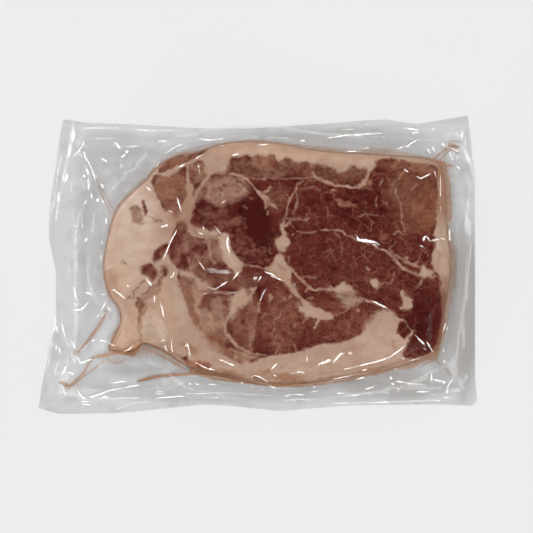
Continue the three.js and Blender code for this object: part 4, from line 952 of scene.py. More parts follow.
def crease_field(x, y):
    """How far creases of slope 1 stand up, how brightly they gleam, and their facets' lean.

    A crease is steep on the side that faces a lamp the most, and slow on the other side. Its
    steep flank is rounded and leans towards that lamp, so that it gleams from straight above, and
    it gets narrower towards its ends."""
    rise, gleam, lean = np.zeros(x.shape), np.zeros(x.shape), np.zeros((len(x), 2))
    patchy = np.clip(0.72 + 0.6 * noise(x, y, 4, 121), 0.25, 1.1)
    uneven = 1 + 0.3 * noise(x, y, 3, 122)
    aslant = np.stack([x, y], axis=1) * MM / (2 * bpy.context.scene.studio.camera_height)
    for width, bright, line in crease_lines():
        reach = (SLOW_FLANK + 1) * width
        steps = [math.dist(a, b) for a, b in zip(line, line[1:])]
        taper = min(CREASE_END, sum(steps) / 3)
        for i, ((x1, y1), (x2, y2)) in enumerate(zip(line, line[1:])):
            near = (x > min(x1, x2) - reach) & (x < max(x1, x2) + reach)
            near &= (y > min(y1, y2) - reach) & (y < max(y1, y2) + reach)
            near = np.flatnonzero(near)
            if not len(near):
                continue
            length = steps[i]
            dx, dy = (x2 - x1) / length, (y2 - y1) / length
            azimuth = math.degrees(math.atan2(dx, -dy))
            ahead, behind = nearest_light(azimuth), nearest_light(azimuth + 180)
            side = 1 if ahead < behind else -1
            light = math.radians(min(ahead, behind)[1])
            along = (x[near] - x1) * dx + (y[near] - y1) * dy
            from_end = np.minimum(sum(steps[:i]) + along, sum(steps[i:]) - along) / taper
            wide = width * uneven[near] * np.clip(END_WIDTH + from_end, END_WIDTH, 1)
            across = side * ((y[near] - y1) * dx - (x[near] - x1) * dy) + wide / 2
            past = np.maximum(np.maximum(-along, along - length), 0)
            ridge = np.where(across > 0, wide - across, wide + across / SLOW_FLANK) - past
            rise[near] = np.maximum(rise[near], ridge)
            lit = bright * patchy[near] * (past < 0.3) * (across > 0) * (across < wide)
            lit *= np.clip(END_GLEAM + from_end, END_GLEAM, 1)
            brighter = lit > gleam[near]
            chosen = near[brighter]
            gleam[chosen] = lit[brighter]
            steepness = FACET_SLOPE + FACET_ROUND * (2 * across[brighter] / wide[brighter] - 1)
            towards = (math.cos(light), math.sin(light))
            lean[chosen] = steepness[:, None] * towards - aslant[chosen]
    return rise, gleam, lean


# ---- where the juice lies


def juice_field(x, y):
    """Distance into the juice, outside the chop, and how much the juice there hides."""
    bent_x, bent_y = bent(x, y, (0.6, 5, 91, 93), (0.25, 2, 92, 94))
    juice, hiding = np.full(x.shape, -REACH), np.zeros(x.shape)
    for strength, outline in JUICE_POOLS.values():
        into = within(bent_x, bent_y, outline)
        juice = np.maximum(juice, into)
        hiding = np.maximum(hiding, strength * smooth_step(-0.2, 1.2, into))
    for strength, line in JUICE_RUNS.values():
        into = -distance(x, y, line, reach=8)
        juice = np.maximum(juice, into + 0.5)
        hiding = np.maximum(hiding, strength * smooth_step(-0.5, 0.3, into))
    depth = chop_depth(x, y)
    into = depth + 1.3 + 0.9 * noise(x, y, 12, 95)
    juice = np.maximum(juice, into)
    hiding = np.maximum(hiding, RIM_JUICE * smooth_step(-0.2, 0.8, into))
    return np.minimum(juice, UNDER_CHOP - depth), hiding


# ---- colours of the chop


def lay_over(colours, share, code):
    colours += share[:, None] * (np.array(linear(code)) - colours)


def painted(x, y, base, tones, patches=(), lumps=()):
    """Colours over the plane: a base, soft ovals over it, patches with an edge and lumps on top."""
    colours = np.tile(np.array(base, float), (len(x), 1))
    place = bent(x, y, (2.5, 7, 71, 73), (1.0, 2.5, 72, 74))
    for *shape, code in tones:
        lay_over(colours, soft_oval(*place, shape, 0.55, 1.2), code)
    place = bent(x, y, (1.6, 4, 75, 76), (0.7, 1.6, 77, 78))
    for code, soft, outline in patches:
        lay_over(colours, smooth_step(-soft, soft, within(*place, outline)), code)
    for *shape, code in lumps:
        lay_over(colours, 0.9 * soft_oval(*place, shape, 0.72, 1.1), code)
    return colours


def lay_marks(colours, x, y):
    place = bent(x, y, (1.1, 3, 101, 103), (0.5, 1.3, 102, 104))
    uneven = 0.85 + 0.2 * noise(x, y, 2.5, 105)
    for code, strength, line in MARKS:
        away = distance(*place, line, reach=4)
        lay_over(colours, strength * uneven * (1 - smooth_step(-0.8, 0.7, away)), code)


def bands(x, y, lines):
    """The largest strength of the soft, slightly uneven bands over each point."""
    most = np.zeros(x.shape)
    place = bent(x, y, (0.8, 7, 111, 112))
    for strength, line in lines:
        away = distance(*place, line, reach=4)
        most = np.maximum(most, strength * (1 - smooth_step(-1.3, 1.1, away)))
    return most * (0.65 + 0.3 * noise(x, y, 8, 113) + 0.35 * along_edges(x, y, *STREAKS))


def fat_fields(x, y):
    """Distance into the fat, distance into the veins, and how pale the nearest vein is."""
    place = bent(x, y, (0.7, 3.5, 81, 83), (0.35, 1.5, 82, 84))
    muscle = np.full(x.shape, -REACH)
    for outline in MUSCLES.values():
        muscle = np.maximum(muscle, within(*place, outline))
    fat = -muscle
    for outline in FAT_SHAPES.values():
        fat = np.maximum(fat, within(*place, outline))
    fat *= 1 - spread(x, y, SOFT_EDGES)
    veins, pale = np.full(x.shape, -5.0), np.zeros(x.shape)
    for line in VEINS:
        thin = [(px, py, width * VEIN_WIDTH) for px, py, width in line]
        into = 0.25 * noise(x, y, 2, 86) - distance(*place, thin, reach=5)
        widest = max(point[2] for point in line)
        pale = np.where(into > veins, min(0.05 + 0.18 * widest, 0.84), pale)
        veins = np.maximum(veins, into)
    return fat, veins, pale * (0.75 + 0.4 * noise(x, y, 3.5, 85))


# ---- mesh by mesh

RIM_ROUNDS = 3  # times that a sheet's rim is drawn towards its edge
MERGED = 0.15  # points closer than this share of a square are merged
SHARP_ANGLE = 70


def numbers(items, name, width=1, kind=float):
    """One property of all of a mesh's vertices, edges, faces or loops, as an array."""
    values = np.zeros(len(items) * width, kind)
    items.foreach_get(name, values)
    return values.reshape(-1, width) if width > 1 else values


def points_of(piece):
    return numbers(piece.data.vertices, "co", 3) / MM


def middles_of(piece):
    """X and Y of the middles of a piece's faces."""
    return (numbers(piece.data.polygons, "center", 3) / MM)[:, :2].T


def place_points(piece, points):
    piece.data.vertices.foreach_set("co", (points * MM).ravel())
    piece.data.update()


def choose(piece, kind, chosen):
    """Edit mode on the piece, with those edges or faces chosen."""
    bpy.ops.object.mode_set(mode="EDIT")
    bpy.ops.mesh.select_mode(type=kind)
    bpy.ops.mesh.select_all(action="DESELECT")
    bpy.ops.object.mode_set(mode="OBJECT")
    items = {"EDGE": piece.data.edges, "FACE": piece.data.polygons}
    items[kind].foreach_set("select", chosen)
    bpy.ops.object.mode_set(mode="EDIT")


def rim(piece):
    """Which edges, and which vertices, have a face on one side only."""
    sides = numbers(piece.data.loops, "edge_index", kind=np.int32)
    on_rim = np.bincount(sides, minlength=len(piece.data.edges)) == 1
    ends = np.zeros(len(piece.data.vertices), bool)
    ends[numbers(piece.data.edges, "vertices", 2, np.int32)[on_rim].ravel()] = True
    return on_rim, ends


def add_sheet(name, low, high, step, field):
    """A flat grid, cut to where the field is positive, its rim drawn onto the field's edge."""
    columns, rows = (math.ceil((b - a) / step) for a, b in zip(low, high))
    bpy.ops.object.select_all(action="DESELECT")
    bpy.ops.mesh.primitive_grid_add(
        x_subdivisions=columns, y_subdivisions=rows, size=columns * step * MM,
        location=((low[0] + high[0]) / 2 * MM, (low[1] + high[1]) / 2 * MM, 0),
    )
    sheet = bpy.context.object
    sheet.name = sheet.data.name = name
    bpy.ops.transform.resize(value=(1, rows / columns, 1))
    bpy.ops.object.transform_apply(location=True, rotation=True, scale=True)
    choose(sheet, "FACE", field(*middles_of(sheet)) <= 0)
    bpy.ops.mesh.delete(type="FACE")
    bpy.ops.object.mode_set(mode="OBJECT")

    points = points_of(sheet)
    on_rim = rim(sheet)[1]
    x, y = points[on_rim, 0], points[on_rim, 1]
    for _ in range(RIM_ROUNDS):
        value = field(x, y)
        slope_x, slope_y = slopes(field, x, y, 0.05)
        pull = value / np.maximum(slope_x**2 + slope_y**2, 0.3)
        x, y = x - pull * slope_x, y - pull * slope_y
    points[on_rim, 0], points[on_rim, 1] = x, y
    place_points(sheet, points)
    bpy.ops.object.mode_set(mode="EDIT")
    bpy.ops.mesh.select_all(action="SELECT")
    bpy.ops.mesh.remove_doubles(threshold=MERGED * step * MM)
    bpy.ops.object.mode_set(mode="OBJECT")
    return sheet


def extrude_rim(piece, move):
    """Extrudes a sheet's rim and puts the new vertices where move says."""
    choose(piece, "EDGE", rim(piece)[0])
    bpy.ops.mesh.extrude_edges_move(TRANSFORM_OT_translate={"value": (0, 0, 0)})
    bpy.ops.object.mode_set(mode="OBJECT")
    new = numbers(piece.data.vertices, "select", kind=bool)
    points = points_of(piece)
    points[new] = move(points[new])
    place_points(piece, points)


def close_below(piece):
    """Fills a sheet's rim with one flat face and turns all faces outwards."""
    choose(piece, "EDGE", rim(piece)[0])
    bpy.ops.mesh.edge_face_add()
    bpy.ops.mesh.select_all(action="SELECT")
    bpy.ops.mesh.normals_make_consistent(inside=False)
    bpy.ops.object.mode_set(mode="OBJECT")


def shade(piece):
    bpy.ops.object.select_all(action="DESELECT")
    piece.select_set(True)
    bpy.context.view_layer.objects.active = piece
    bpy.ops.object.shade_smooth_by_angle(angle=math.radians(SHARP_ANGLE))


def store(piece, **kept):
    """Keeps numbers or colours for each vertex, for the materials to read."""
    for name, values in kept.items():
        # Vertices that were added below have nothing to show.
        missing = [(0, len(piece.data.vertices) - len(values))] + [(0, 0)] * (values.ndim - 1)
        values = np.pad(values, missing)
        if values.ndim == 1:
            attribute = piece.data.attributes.new(name, "FLOAT", "POINT")
            attribute.data.foreach_set("value", values)
        else:
            colours = np.concatenate([values, np.ones((len(values), 1))], axis=1)
            attribute = piece.data.attributes.new(name, "FLOAT_COLOR", "POINT")
            attribute.data.foreach_set("color", colours.ravel())


def dress(piece, material, slot, *nodes):
    """Gives a piece its material, hangs it on the frame's root and hides the parts of the model
    that it stands for.
    """
    piece.data.materials.clear()
    piece.data.materials.append(material)
    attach(piece, "root")
    if nodes:
        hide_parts(*nodes)


# ---- materials

SMOOTH = {"interpolation_type": "SMOOTHSTEP"}
COLOUR_MIX = {"data_type": "RGBA"}  # its inputs are 0 for the share, 6 and 7, and its output 2
WHITE = (1, 1, 1, 1)


def add_node(tree, kind, inputs=(), **settings):
    """Adds a shader node and gives its outputs. An input is a value or another node's output."""
    node = tree.nodes.new("ShaderNode" + kind)
    for name, value in settings.items():
        setattr(node, name, value)
    for name, value in dict(inputs).items():
        if isinstance(value, bpy.types.NodeSocket):
            tree.links.new(value, node.inputs[name])
        else:
            node.inputs[name].default_value = value
    return node.outputs


def new_material(name):
    """An empty material, and the function that adds nodes to it."""
    material = bpy.data.materials.new(name)
    material.use_nodes = True
    material.node_tree.nodes.clear()
    return material, partial(add_node, material.node_tree)


def raw_pork():
    """Raw pork, cut with a knife: dark wet muscle in fine bundles, veined with soft cream fat."""
    settings = bpy.context.scene.pork_chop
    material, add = new_material("raw_pork")
    place = add("TexCoord")["Object"]
    kept = {
        name: add("Attribute", attribute_name=name)[output]
        for output, names in (
            ("Color", ("flesh", "fat_tone")),
            ("Fac", (
                "fat_edge", "vein_edge", "vein_pale", "marbling", "mottle", "lumpy", "dotted",
            )),
        )
        for name in names
    }

    # Unevenness: clouds 11 mm, blotches 4.6 mm and bundles of fibre 2 mm across in the muscle,
    # and the fretting of the fat's edge.
    def unevenness(size, detail, seed):
        start = (seed, 2.3 * seed, 0.7 * seed)
        shifted = add("VectorMath", {0: place, 1: start}, operation="ADD")
        return add("TexNoise", {
            "Vector": shifted[0], "Scale": 1000 / size, "Detail": detail, "Roughness": 0.6
        })["Fac"]

    clouds = unevenness(11, 3, 0.3)
    blotches = unevenness(4.6, 2.5, 0.0)
    bundles = unevenness(2.0, 3, 0.1)
    fretting = unevenness(2.6, 2.5, 0.2)
    fretting = add("MapRange", {"Value": fretting, "To Min": -1.1, "To Max": 1.1})[0]

    masks = []
    for name, low, high in (("fat_edge", -1.1, 0.9), ("vein_edge", -0.8, 0.7)):
        edge = add("Math", {0: kept[name], 1: fretting}, operation="ADD")[0]
        edge = add("MapRange", {"Value": edge, "From Min": low, "From Max": high}, **SMOOTH)[0]
        masks.append(edge)
    veins = add("Math", {0: masks[1], 1: kept["vein_pale"]}, operation="MULTIPLY")[0]
    thin = add("Math", {0: veins, 1: 1.4}, operation="MULTIPLY", use_clamp=True)[0]

    # Marbling: threads of fat between bundles 7.5 and 4.2 mm across, broken up and faint.
    drift = add("TexNoise", {"Vector": place, "Scale": 1000 / 6, "Detail": 2.0})["Color"]
    strayed = add(
        "VectorMath", {0: drift, 1: (0.0035, 0.0035, 0.0035), 2: place}, operation="MULTIPLY_ADD"
    )[0]
    threads = []
    for size, wide, strength in ((7.5, 0.065, 0.4), (4.2, 0.085, 0.2)):
        cells = add(
            "TexVoronoi", {"Vector": strayed, "Scale": 1000 / size}, feature="DISTANCE_TO_EDGE"
        )
        line = add("MapRange", {
            "Value": cells["Distance"], "From Max": wide, "To Min": strength, "To Max": 0.0
        }, **SMOOTH)[0]
        gate = add("MapRange", {
            "Value": unevenness(9, 3, size), "From Min": 0.42, "From Max": 0.62
        }, **SMOOTH)[0]
        line = add("Math", {0: line, 1: gate}, operation="MULTIPLY")[0]
        threads.append(add("Math", {0: line, 1: kept["marbling"]}, operation="MULTIPLY")[0])
    # Muscle is smeared with fat for some 3 mm round it.
    smear = add("MapRange", {
        "Value": kept["fat_edge"], "From Min": -3.5, "From Max": 0.0, "To Max": 0.5
    }, **SMOOTH)[0]
    patchy = add("MapRange", {"Value": blotches, "From Min": 0.42, "From Max": 0.66}, **SMOOTH)[0]
    smear = add("Math", {0: smear, 1: patchy}, operation="MULTIPLY")[0]
    for other in (smear, *threads):
        thin = add("Math", {0: thin, 1: other}, operation="MAXIMUM")[0]
    fat = add("Math", {0: masks[0], 1: veins}, operation="MAXIMUM")[0]

    # Muscle gets darker and redder, or lighter and browner, from blotch to blotch and from
    # bundle to bundle.
    drawn_out = add("VectorMath", {0: strayed, 1: (0.7, 1.0, 1.0)}, operation="MULTIPLY")[0]
    wisps = add("TexNoise", {
        "Vector": drawn_out, "Scale": 1000 / 2.8, "Detail": 2.0, "Roughness": 0.5
    })["Fac"]
    light = 0.0
    for source, share in ((clouds, 0.4), (blotches, 0.4), (wisps, 0.5), (bundles, 0.25)):
        part = add("MapRange", {
            "Value": source, "From Min": 0.25, "From Max": 0.75, "To Min": -share, "To Max": share
        }, clamp=False)[0]
        light = add("Math", {0: light, 1: part}, operation="ADD")[0]
    light = add("Math", {0: light, 1: kept["mottle"], 2: 0.5}, operation="MULTIPLY_ADD")[0]
    shift = add("Mix", {
        0: light, 6: (0.72, 0.5, 0.5, 1), 7: (1.4, 1.56, 1.56, 1)
    }, **COLOUR_MIX)[2]
    muscle = add("VectorMath", {0: kept["flesh"], 1: shift}, operation="MULTIPLY")[0]

    # Pale lumps 3 mm across, some fainter than others, in the dark muscle, and dark dots 1 mm
    # across: their cells' size, the spots' edge in it, the faintest one, where and colour.
    for size, full, none, least, spots, code in (
        (4.6, 0.26, 0.44, 0.1, "lumpy", "#7f5042"), (2.9, 0.14, 0.26, 0.5, "dotted", "#54281f"),
    ):
        cells = add(
            "TexVoronoi", {"Vector": strayed, "Scale": 1000 / size}, voronoi_dimensions="2D"
        )
        spot = add("MapRange", {
            "Value": cells["Distance"], "From Min": full, "From Max": none, "To Min": 1.0,
            "To Max": 0.0,
        }, **SMOOTH)[0]
        own = add("SeparateXYZ", {0: cells["Color"]})["X"]
        own = add("MapRange", {"Value": own, "From Min": least})[0]
        share = add("Math", {0: spot, 1: own}, operation="MULTIPLY")[0]
        share = add("Math", {0: share, 1: kept[spots]}, operation="MULTIPLY")[0]
        tone = (*(settings.gain * value for value in linear(code)), 1)
        muscle = add("Mix", {0: share, 6: muscle, 7: tone}, **COLOUR_MIX)[2]

    # Fat is evener: soft clouds 8 mm across, browner where darker, and fine streaks.
    cloud = add("MapRange", {
        "Value": unevenness(8, 3, 0.5), "From Min": 0.3, "From Max": 0.7, "To Max": 0.55
    })[0]
    cloud = add("Math", {0: wisps, 1: 0.6, 2: cloud}, operation="MULTIPLY_ADD")[0]
    toned = add("Mix", {
        0: cloud, 6: (0.84, 0.76, 0.7, 1), 7: (1.12, 1.17, 1.21, 1)
    }, **COLOUR_MIX)[2]
    cream = add("VectorMath", {0: kept["fat_tone"], 1: toned}, operation="MULTIPLY")[0]
    # Thin fat lets the muscle under it show, and looks tan.
    tan = add("VectorMath", {0: kept["fat_tone"], 1: (0.8, 0.56, 0.51)}, operation="MULTIPLY")[0]
    veiled = add("Mix", {0: thin, 6: muscle, 7: tan}, **COLOUR_MIX)[2]
    colour = add("Mix", {0: fat, 6: veiled, 7: cream}, **COLOUR_MIX)[2]

    # The bundles of fibre and the edges of the fat show as a bump 0.3 mm deep.
    height = add("Math", {0: fat, 1: -0.4, 2: bundles}, operation="MULTIPLY_ADD")[0]
    bump = add("Bump", {"Strength": 0.35, "Distance": 0.0003, "Height": height})[0]
    surface = add("BsdfPrincipled", {
        "Base Color": colour, "Roughness": settings.roughness, "IOR": 1.38,
        "Specular IOR Level": 0.05, "Normal": bump,
    })[0]
    add("OutputMaterial", {"Surface": surface})
    return material


def clear_film():
    """Clear co-extruded vacuum film: see-through from above, with sharp glints on its creases."""
    settings = bpy.context.scene.film_pouch
    material, add = new_material("clear_vacuum_film")
    place = add("TexCoord")["Object"]
    folded, streaked, pale, lifted = (
        add("Attribute", attribute_name=name)["Fac"]
        for name in ("folded", "milky", "pale", "lifted")
    )

    # Flat film mirrors next to nothing from straight above and a little aslant, and a crease
    # mirrors more.
    facing = add("LayerWeight", {"Blend": 0.5})["Facing"]
    aslant = add("Math", {0: facing, 1: 5.0}, operation="POWER")[0]
    least = add("MapRange", {
        "Value": lifted, "To Min": settings.clinging, "To Max": settings.mirrored
    })[0]
    mirrored = add("MapRange", {"Value": aslant, "To Min": least, "To Max": 0.12})[0]

    # Folds let less light through.
    clear = add("Mix", {
        0: folded, 6: (0.935, 0.938, 0.941, 1), 7: (0.70, 0.682, 0.664, 1)
    }, **COLOUR_MIX)[2]
    # It is puckered, 5 mm from pucker to pucker, and its creases turn to their own facets.
    pucker = add("TexNoise", {"Vector": place, "Scale": 1000 / 5, "Detail": 3.0})["Fac"]
    bump = add("Bump", {"Strength": 0.12, "Distance": 0.0005, "Height": pucker})[0]
    facets = add("Attribute", attribute_name="facets")["Vector"]
    leaning = add("VectorMath", {0: facets, 1: (25, 25, 25), 2: bump}, operation="MULTIPLY_ADD")[0]
    normal = add("VectorMath", {0: leaning}, operation="NORMALIZE")[0]
    through = add("BsdfTransparent", {"Color": clear})[0]
    gloss = add("BsdfGlossy", {
        "Color": WHITE, "Roughness": settings.roughness, "Normal": normal
    })[0]
    film = add("MixShader", {0: mirrored, 1: through, 2: gloss})[0]

    # Loose film is a little milky, in streaks and in clouds 12 mm across.
    cloud = add("TexNoise", {"Vector": place, "Scale": 1000 / 12, "Detail": 4.0})["Fac"]
    milky = add("MapRange", {
        "Value": cloud, "From Min": 0.35, "From Max": 0.7, "To Min": 0.02, "To Max": 0.16
    })[0]
    # The pale attribute adds a painted sheen on the pale bands and wrinkles, and painted light over
    # the chop's shadow round it.
    veil = add("Math", {0: milky, 1: streaked, 2: pale}, operation="MULTIPLY_ADD")[0]
    haze = add("BsdfDiffuse", {"Color": (0.8, 0.8, 0.8, 1)})[0]
    film = add("MixShader", {0: veil, 1: film, 2: haze})[0]
    add("OutputMaterial", {"Surface": film})
    return material


def meat_juice():
    """Meat juice, a thin pressed layer: it tints what lies under it brown and hides a part."""
    settings = bpy.context.scene.meat_juice
    material, add = new_material("meat_juice")
    place = add("TexCoord")["Object"]
    # It hides more or less in clouds 5 mm across.
    cloud = add("TexNoise", {"Vector": place, "Scale": 1000 / 5, "Detail": 3.0})["Fac"]
    thick = add("Attribute", attribute_name="thick")["Fac"]
    share = add("MapRange", {
        "Value": cloud, "From Min": 0.3, "From Max": 0.7, "To Min": 0.8, "To Max": 1.15
    })[0]
    hiding = add("Math", {0: share, 1: thick}, operation="MULTIPLY")[0]
    tint = add("Mix", {0: hiding, 6: WHITE, 7: (*settings.tint, 1)}, **COLOUR_MIX)[2]
    through = add("BsdfTransparent", {"Color": tint})[0]
    deep = add("MapRange", {"Value": hiding, "From Min": 0.5, "From Max": 0.9}, **SMOOTH)[0]
    colour = add("Mix", {
        0: deep, 6: (*settings.colour, 1), 7: (*settings.deep, 1)
    }, **COLOUR_MIX)[2]
    body = add("BsdfPrincipled", {
        "Base Color": colour, "Roughness": 0.35, "IOR": 1.34, "Specular IOR Level": 0.2
    })[0]
    juice = add("MixShader", {0: hiding, 1: through, 2: body})[0]
    add("OutputMaterial", {"Surface": juice})
    return material


def pale_board():
    """A matt painted board: even and pale, with a faint cloudiness."""
    settings = bpy.context.scene.studio
    material, add = new_material("matt_board")
    place = add("TexCoord")["Object"]
    cloud = add("TexNoise", {"Vector": place, "Scale": 4.0, "Detail": 3.0})["Fac"]
    light = add("MapRange", {"Value": cloud, "To Min": 0.97, "To Max": 1.03})[0]
    colour = add("VectorMath", {0: tuple(settings.floor), "Scale": light}, operation="SCALE")[0]
    surface = add("BsdfDiffuse", {"Color": colour})[0]
    add("OutputMaterial", {"Surface": surface})
    return material


# ---- settings


class ChopSettings(bpy.types.PropertyGroup):
    thickness: bpy.props.FloatProperty(
        name="Thickness", description="Thickness of the chop", default=0.020, unit="LENGTH")
    tail_thickness: bpy.props.FloatProperty(
        name="Flap thickness", description="Thickness at the flap's tip", default=0.010,
        unit="LENGTH")
    muscle: bpy.props.FloatVectorProperty(
        name="Muscle", description="Colour of the muscle", default=linear("#5b241d"),
        subtype="COLOR", min=0, max=1)
    fat: bpy.props.FloatVectorProperty(
        name="Fat", description="Colour of the fat", default=linear("#b99985"),
        subtype="COLOR", min=0, max=1)
    gain: bpy.props.FloatProperty(
        name="Lightness", description="How light the meat is under its film", default=0.735,
        min=0, max=2)
    roughness: bpy.props.FloatProperty(
        name="Roughness", description="Roughness of the wet cut face", default=0.45, min=0, max=1)


class FilmSettings(bpy.types.PropertyGroup):
    crease_slope: bpy.props.FloatProperty(
        name="Crease slope", description="How steeply the creases that catch the light lean",
        default=0.25, min=0, max=1)
    mirrored: bpy.props.FloatProperty(
        name="Reflection", description="Share of light that a crease mirrors", default=0.18,
        min=0, max=1)
    clinging: bpy.props.FloatProperty(
        name="Clinging reflection", default=0.003, min=0, max=1,
        description="Share of light mirrored where the film clings to the meat")
    roughness: bpy.props.FloatProperty(
        name="Roughness", description="Roughness of the film", default=0.12, min=0, max=1)


class JuiceSettings(bpy.types.PropertyGroup):
    colour: bpy.props.FloatVectorProperty(
        name="Colour", description="Colour of the juice", default=linear("#ba8c69"),
        subtype="COLOR", min=0, max=1)
    tint: bpy.props.FloatVectorProperty(
        name="Tint", description="Tint of what shows through it", default=linear("#e0ba9b"),
        subtype="COLOR", min=0, max=1)
    deep: bpy.props.FloatVectorProperty(
        name="Deep colour", description="Colour where the juice is thickest",
        default=linear("#81543c"), subtype="COLOR", min=0, max=1)
    thickness: bpy.props.FloatProperty(
        name="Thickness", description="Thickness of the layer", default=0.0003, unit="LENGTH")


class StudioSettings(bpy.types.PropertyGroup):
    floor: bpy.props.FloatVectorProperty(
        name="Floor", description="Colour of the floor", default=(0.6, 0.6, 0.6),
        subtype="COLOR", min=0, max=1)
    light_power: bpy.props.FloatProperty(
        name="Light power", description="Power of each soft light", default=10.3, unit="POWER")
    camera_height: bpy.props.FloatProperty(
        name="Camera height", description="Height of the camera", default=1.1, unit="LENGTH")


# ---- operators

CHOP_STEP = 0.63  # sides of the grids' squares
FILM_STEP = 1.24
JUICE_STEP = 0.5
FIELD_LIMIT = 4  # how far from an edge of fat its distance is kept
JUICE_BELOW = 0.15  # how far the juice lies below the film's upper side


def lower_side(before, angle):
    """How the rim goes on down the lower side, from one angle to the next."""
    drop, drop_before = (LOWER_ROUND * (1 - math.cos(math.radians(a))) for a in (angle, before))

    def move(at):
        x, y = at[:, 0], at[:, 1]
        inwards = np.stack(slopes(chop_depth, x, y, 0.3))
        x, y = at[:, :2].T + (drop - drop_before) * inwards / np.maximum(np.hypot(*inwards), 1e-6)
        widest = WIDEST * chop_thickness(*at[:, :2].T)
        z = CHOP_FROM + (widest - CHOP_FROM) * (1 + math.sin(math.radians(angle)))
        return np.stack([x, y, z], axis=1)

    return move


class PORK_OT_chop(bpy.types.Operator):
    """Makes the chop: a rounded slab with its cut face's relief, muscles, fat and veins"""

    bl_idname = "pork.chop"
    bl_label = "Pork chop"

    def execute(self, context):
        settings = context.scene.pork_chop
        chop = add_sheet("pork_chop_meat", (-106, -83), (133, 85.5), CHOP_STEP, chop_depth)
        points = points_of(chop)
        x, y = points[:, 0], points[:, 1]
        depth = np.maximum(chop_depth(x, y), 0)
        fat, veins, _ = fat_fields(x, y)
        # Fat stands out of the muscle a little.
        fine = 0.16 * smooth_step(0.8, -0.8, np.maximum(fat, veins)) - 0.14
        fine += 0.08 * noise(x, y, 2.2, 5)
        points[:, 2] = chop_surface(x, y, depth) + fine * smooth_step(1, 6, depth)
        place_points(chop, points)
        for before, angle in zip((0, *LOWER_STEPS), LOWER_STEPS):
            extrude_rim(chop, lower_side(before, angle))
        close_below(chop)
        shade(chop)

        points = points_of(chop)
        x, y = points[:, 0], points[:, 1]
        fat, veins, pale = fat_fields(x, y)
        depth = chop_depth(x, y)
        flesh = painted(x, y, tuple(settings.muscle), MUSCLE_TONES, MUSCLE_PATCHES, LUMPS)
        cream = painted(x, y, tuple(settings.fat), FAT_TONES)
        lay_marks(flesh, x, y)
        lay_marks(cream, x, y)
        # The fat is browner along the rim, partly its own colour and partly painted shade of the
        # rim as it turns down, and it is lined along it in front.
        browned_and_shaded_rim = (1 - smooth_step(0.5, 2, depth)) * (0.55 + 0.45 * noise(x, y, 9, 7))
        lay_over(cream, 0.5 * browned_and_shaded_rim, "#a87d62")
        lines = smooth_step(0.05, 0.7, noise(0.1 * (x - y), depth, 0.9, 8))
        lines *= (0.25 + 0.75 * smooth_step(-30, -55, y)) * (1 - smooth_step(2, 8, depth))
        lay_over(cream, 0.7 * lines, "#9d6d53")
        # The rounded side is painted lighter than the face, most of all on the left: painted light
        # that lifts the shade the steep side gets from the lamps overhead.
        lean = np.clip(1 - depth / UPPER_ROUND, 0, 0.9)
        painted_side_light = 0.6 * np.hypot(1, 1.3 * lean / np.sqrt(1 - lean**2)) - 0.6
        leftmost = (1 - smooth_step(-80, -45, x)) * smooth_step(-55, -25, y)
        painted_side_light = 1 + np.minimum(painted_side_light, 0.42) * (0.3 + 0.7 * leftmost)
        # The muscles on the right are marbled more than those on the left.
        marbling = smooth_step(-2, 14, x) * 0.85 + 0.15 + spread(x, y, NETTED)
        uneven = 1 - spread(x, y, EVEN)
        # The flesh and fat colours carry the painted light of the rounded side.
        store(
            chop,
            flesh=flesh * settings.gain * painted_side_light[:, None],
            fat_tone=cream * settings.gain * painted_side_light[:, None],
            fat_edge=np.clip(fat, -FIELD_LIMIT, FIELD_LIMIT),
            vein_edge=np.clip(veins, -FIELD_LIMIT, FIELD_LIMIT),
            vein_pale=pale, marbling=marbling * uneven, mottle=uneven,
            lumpy=spread(x, y, LUMPY), dotted=spread(x, y, DOTTED),
        )
        dress(chop, raw_pork(), "raw_pork", "pork_chop")
        return {"FINISHED"}


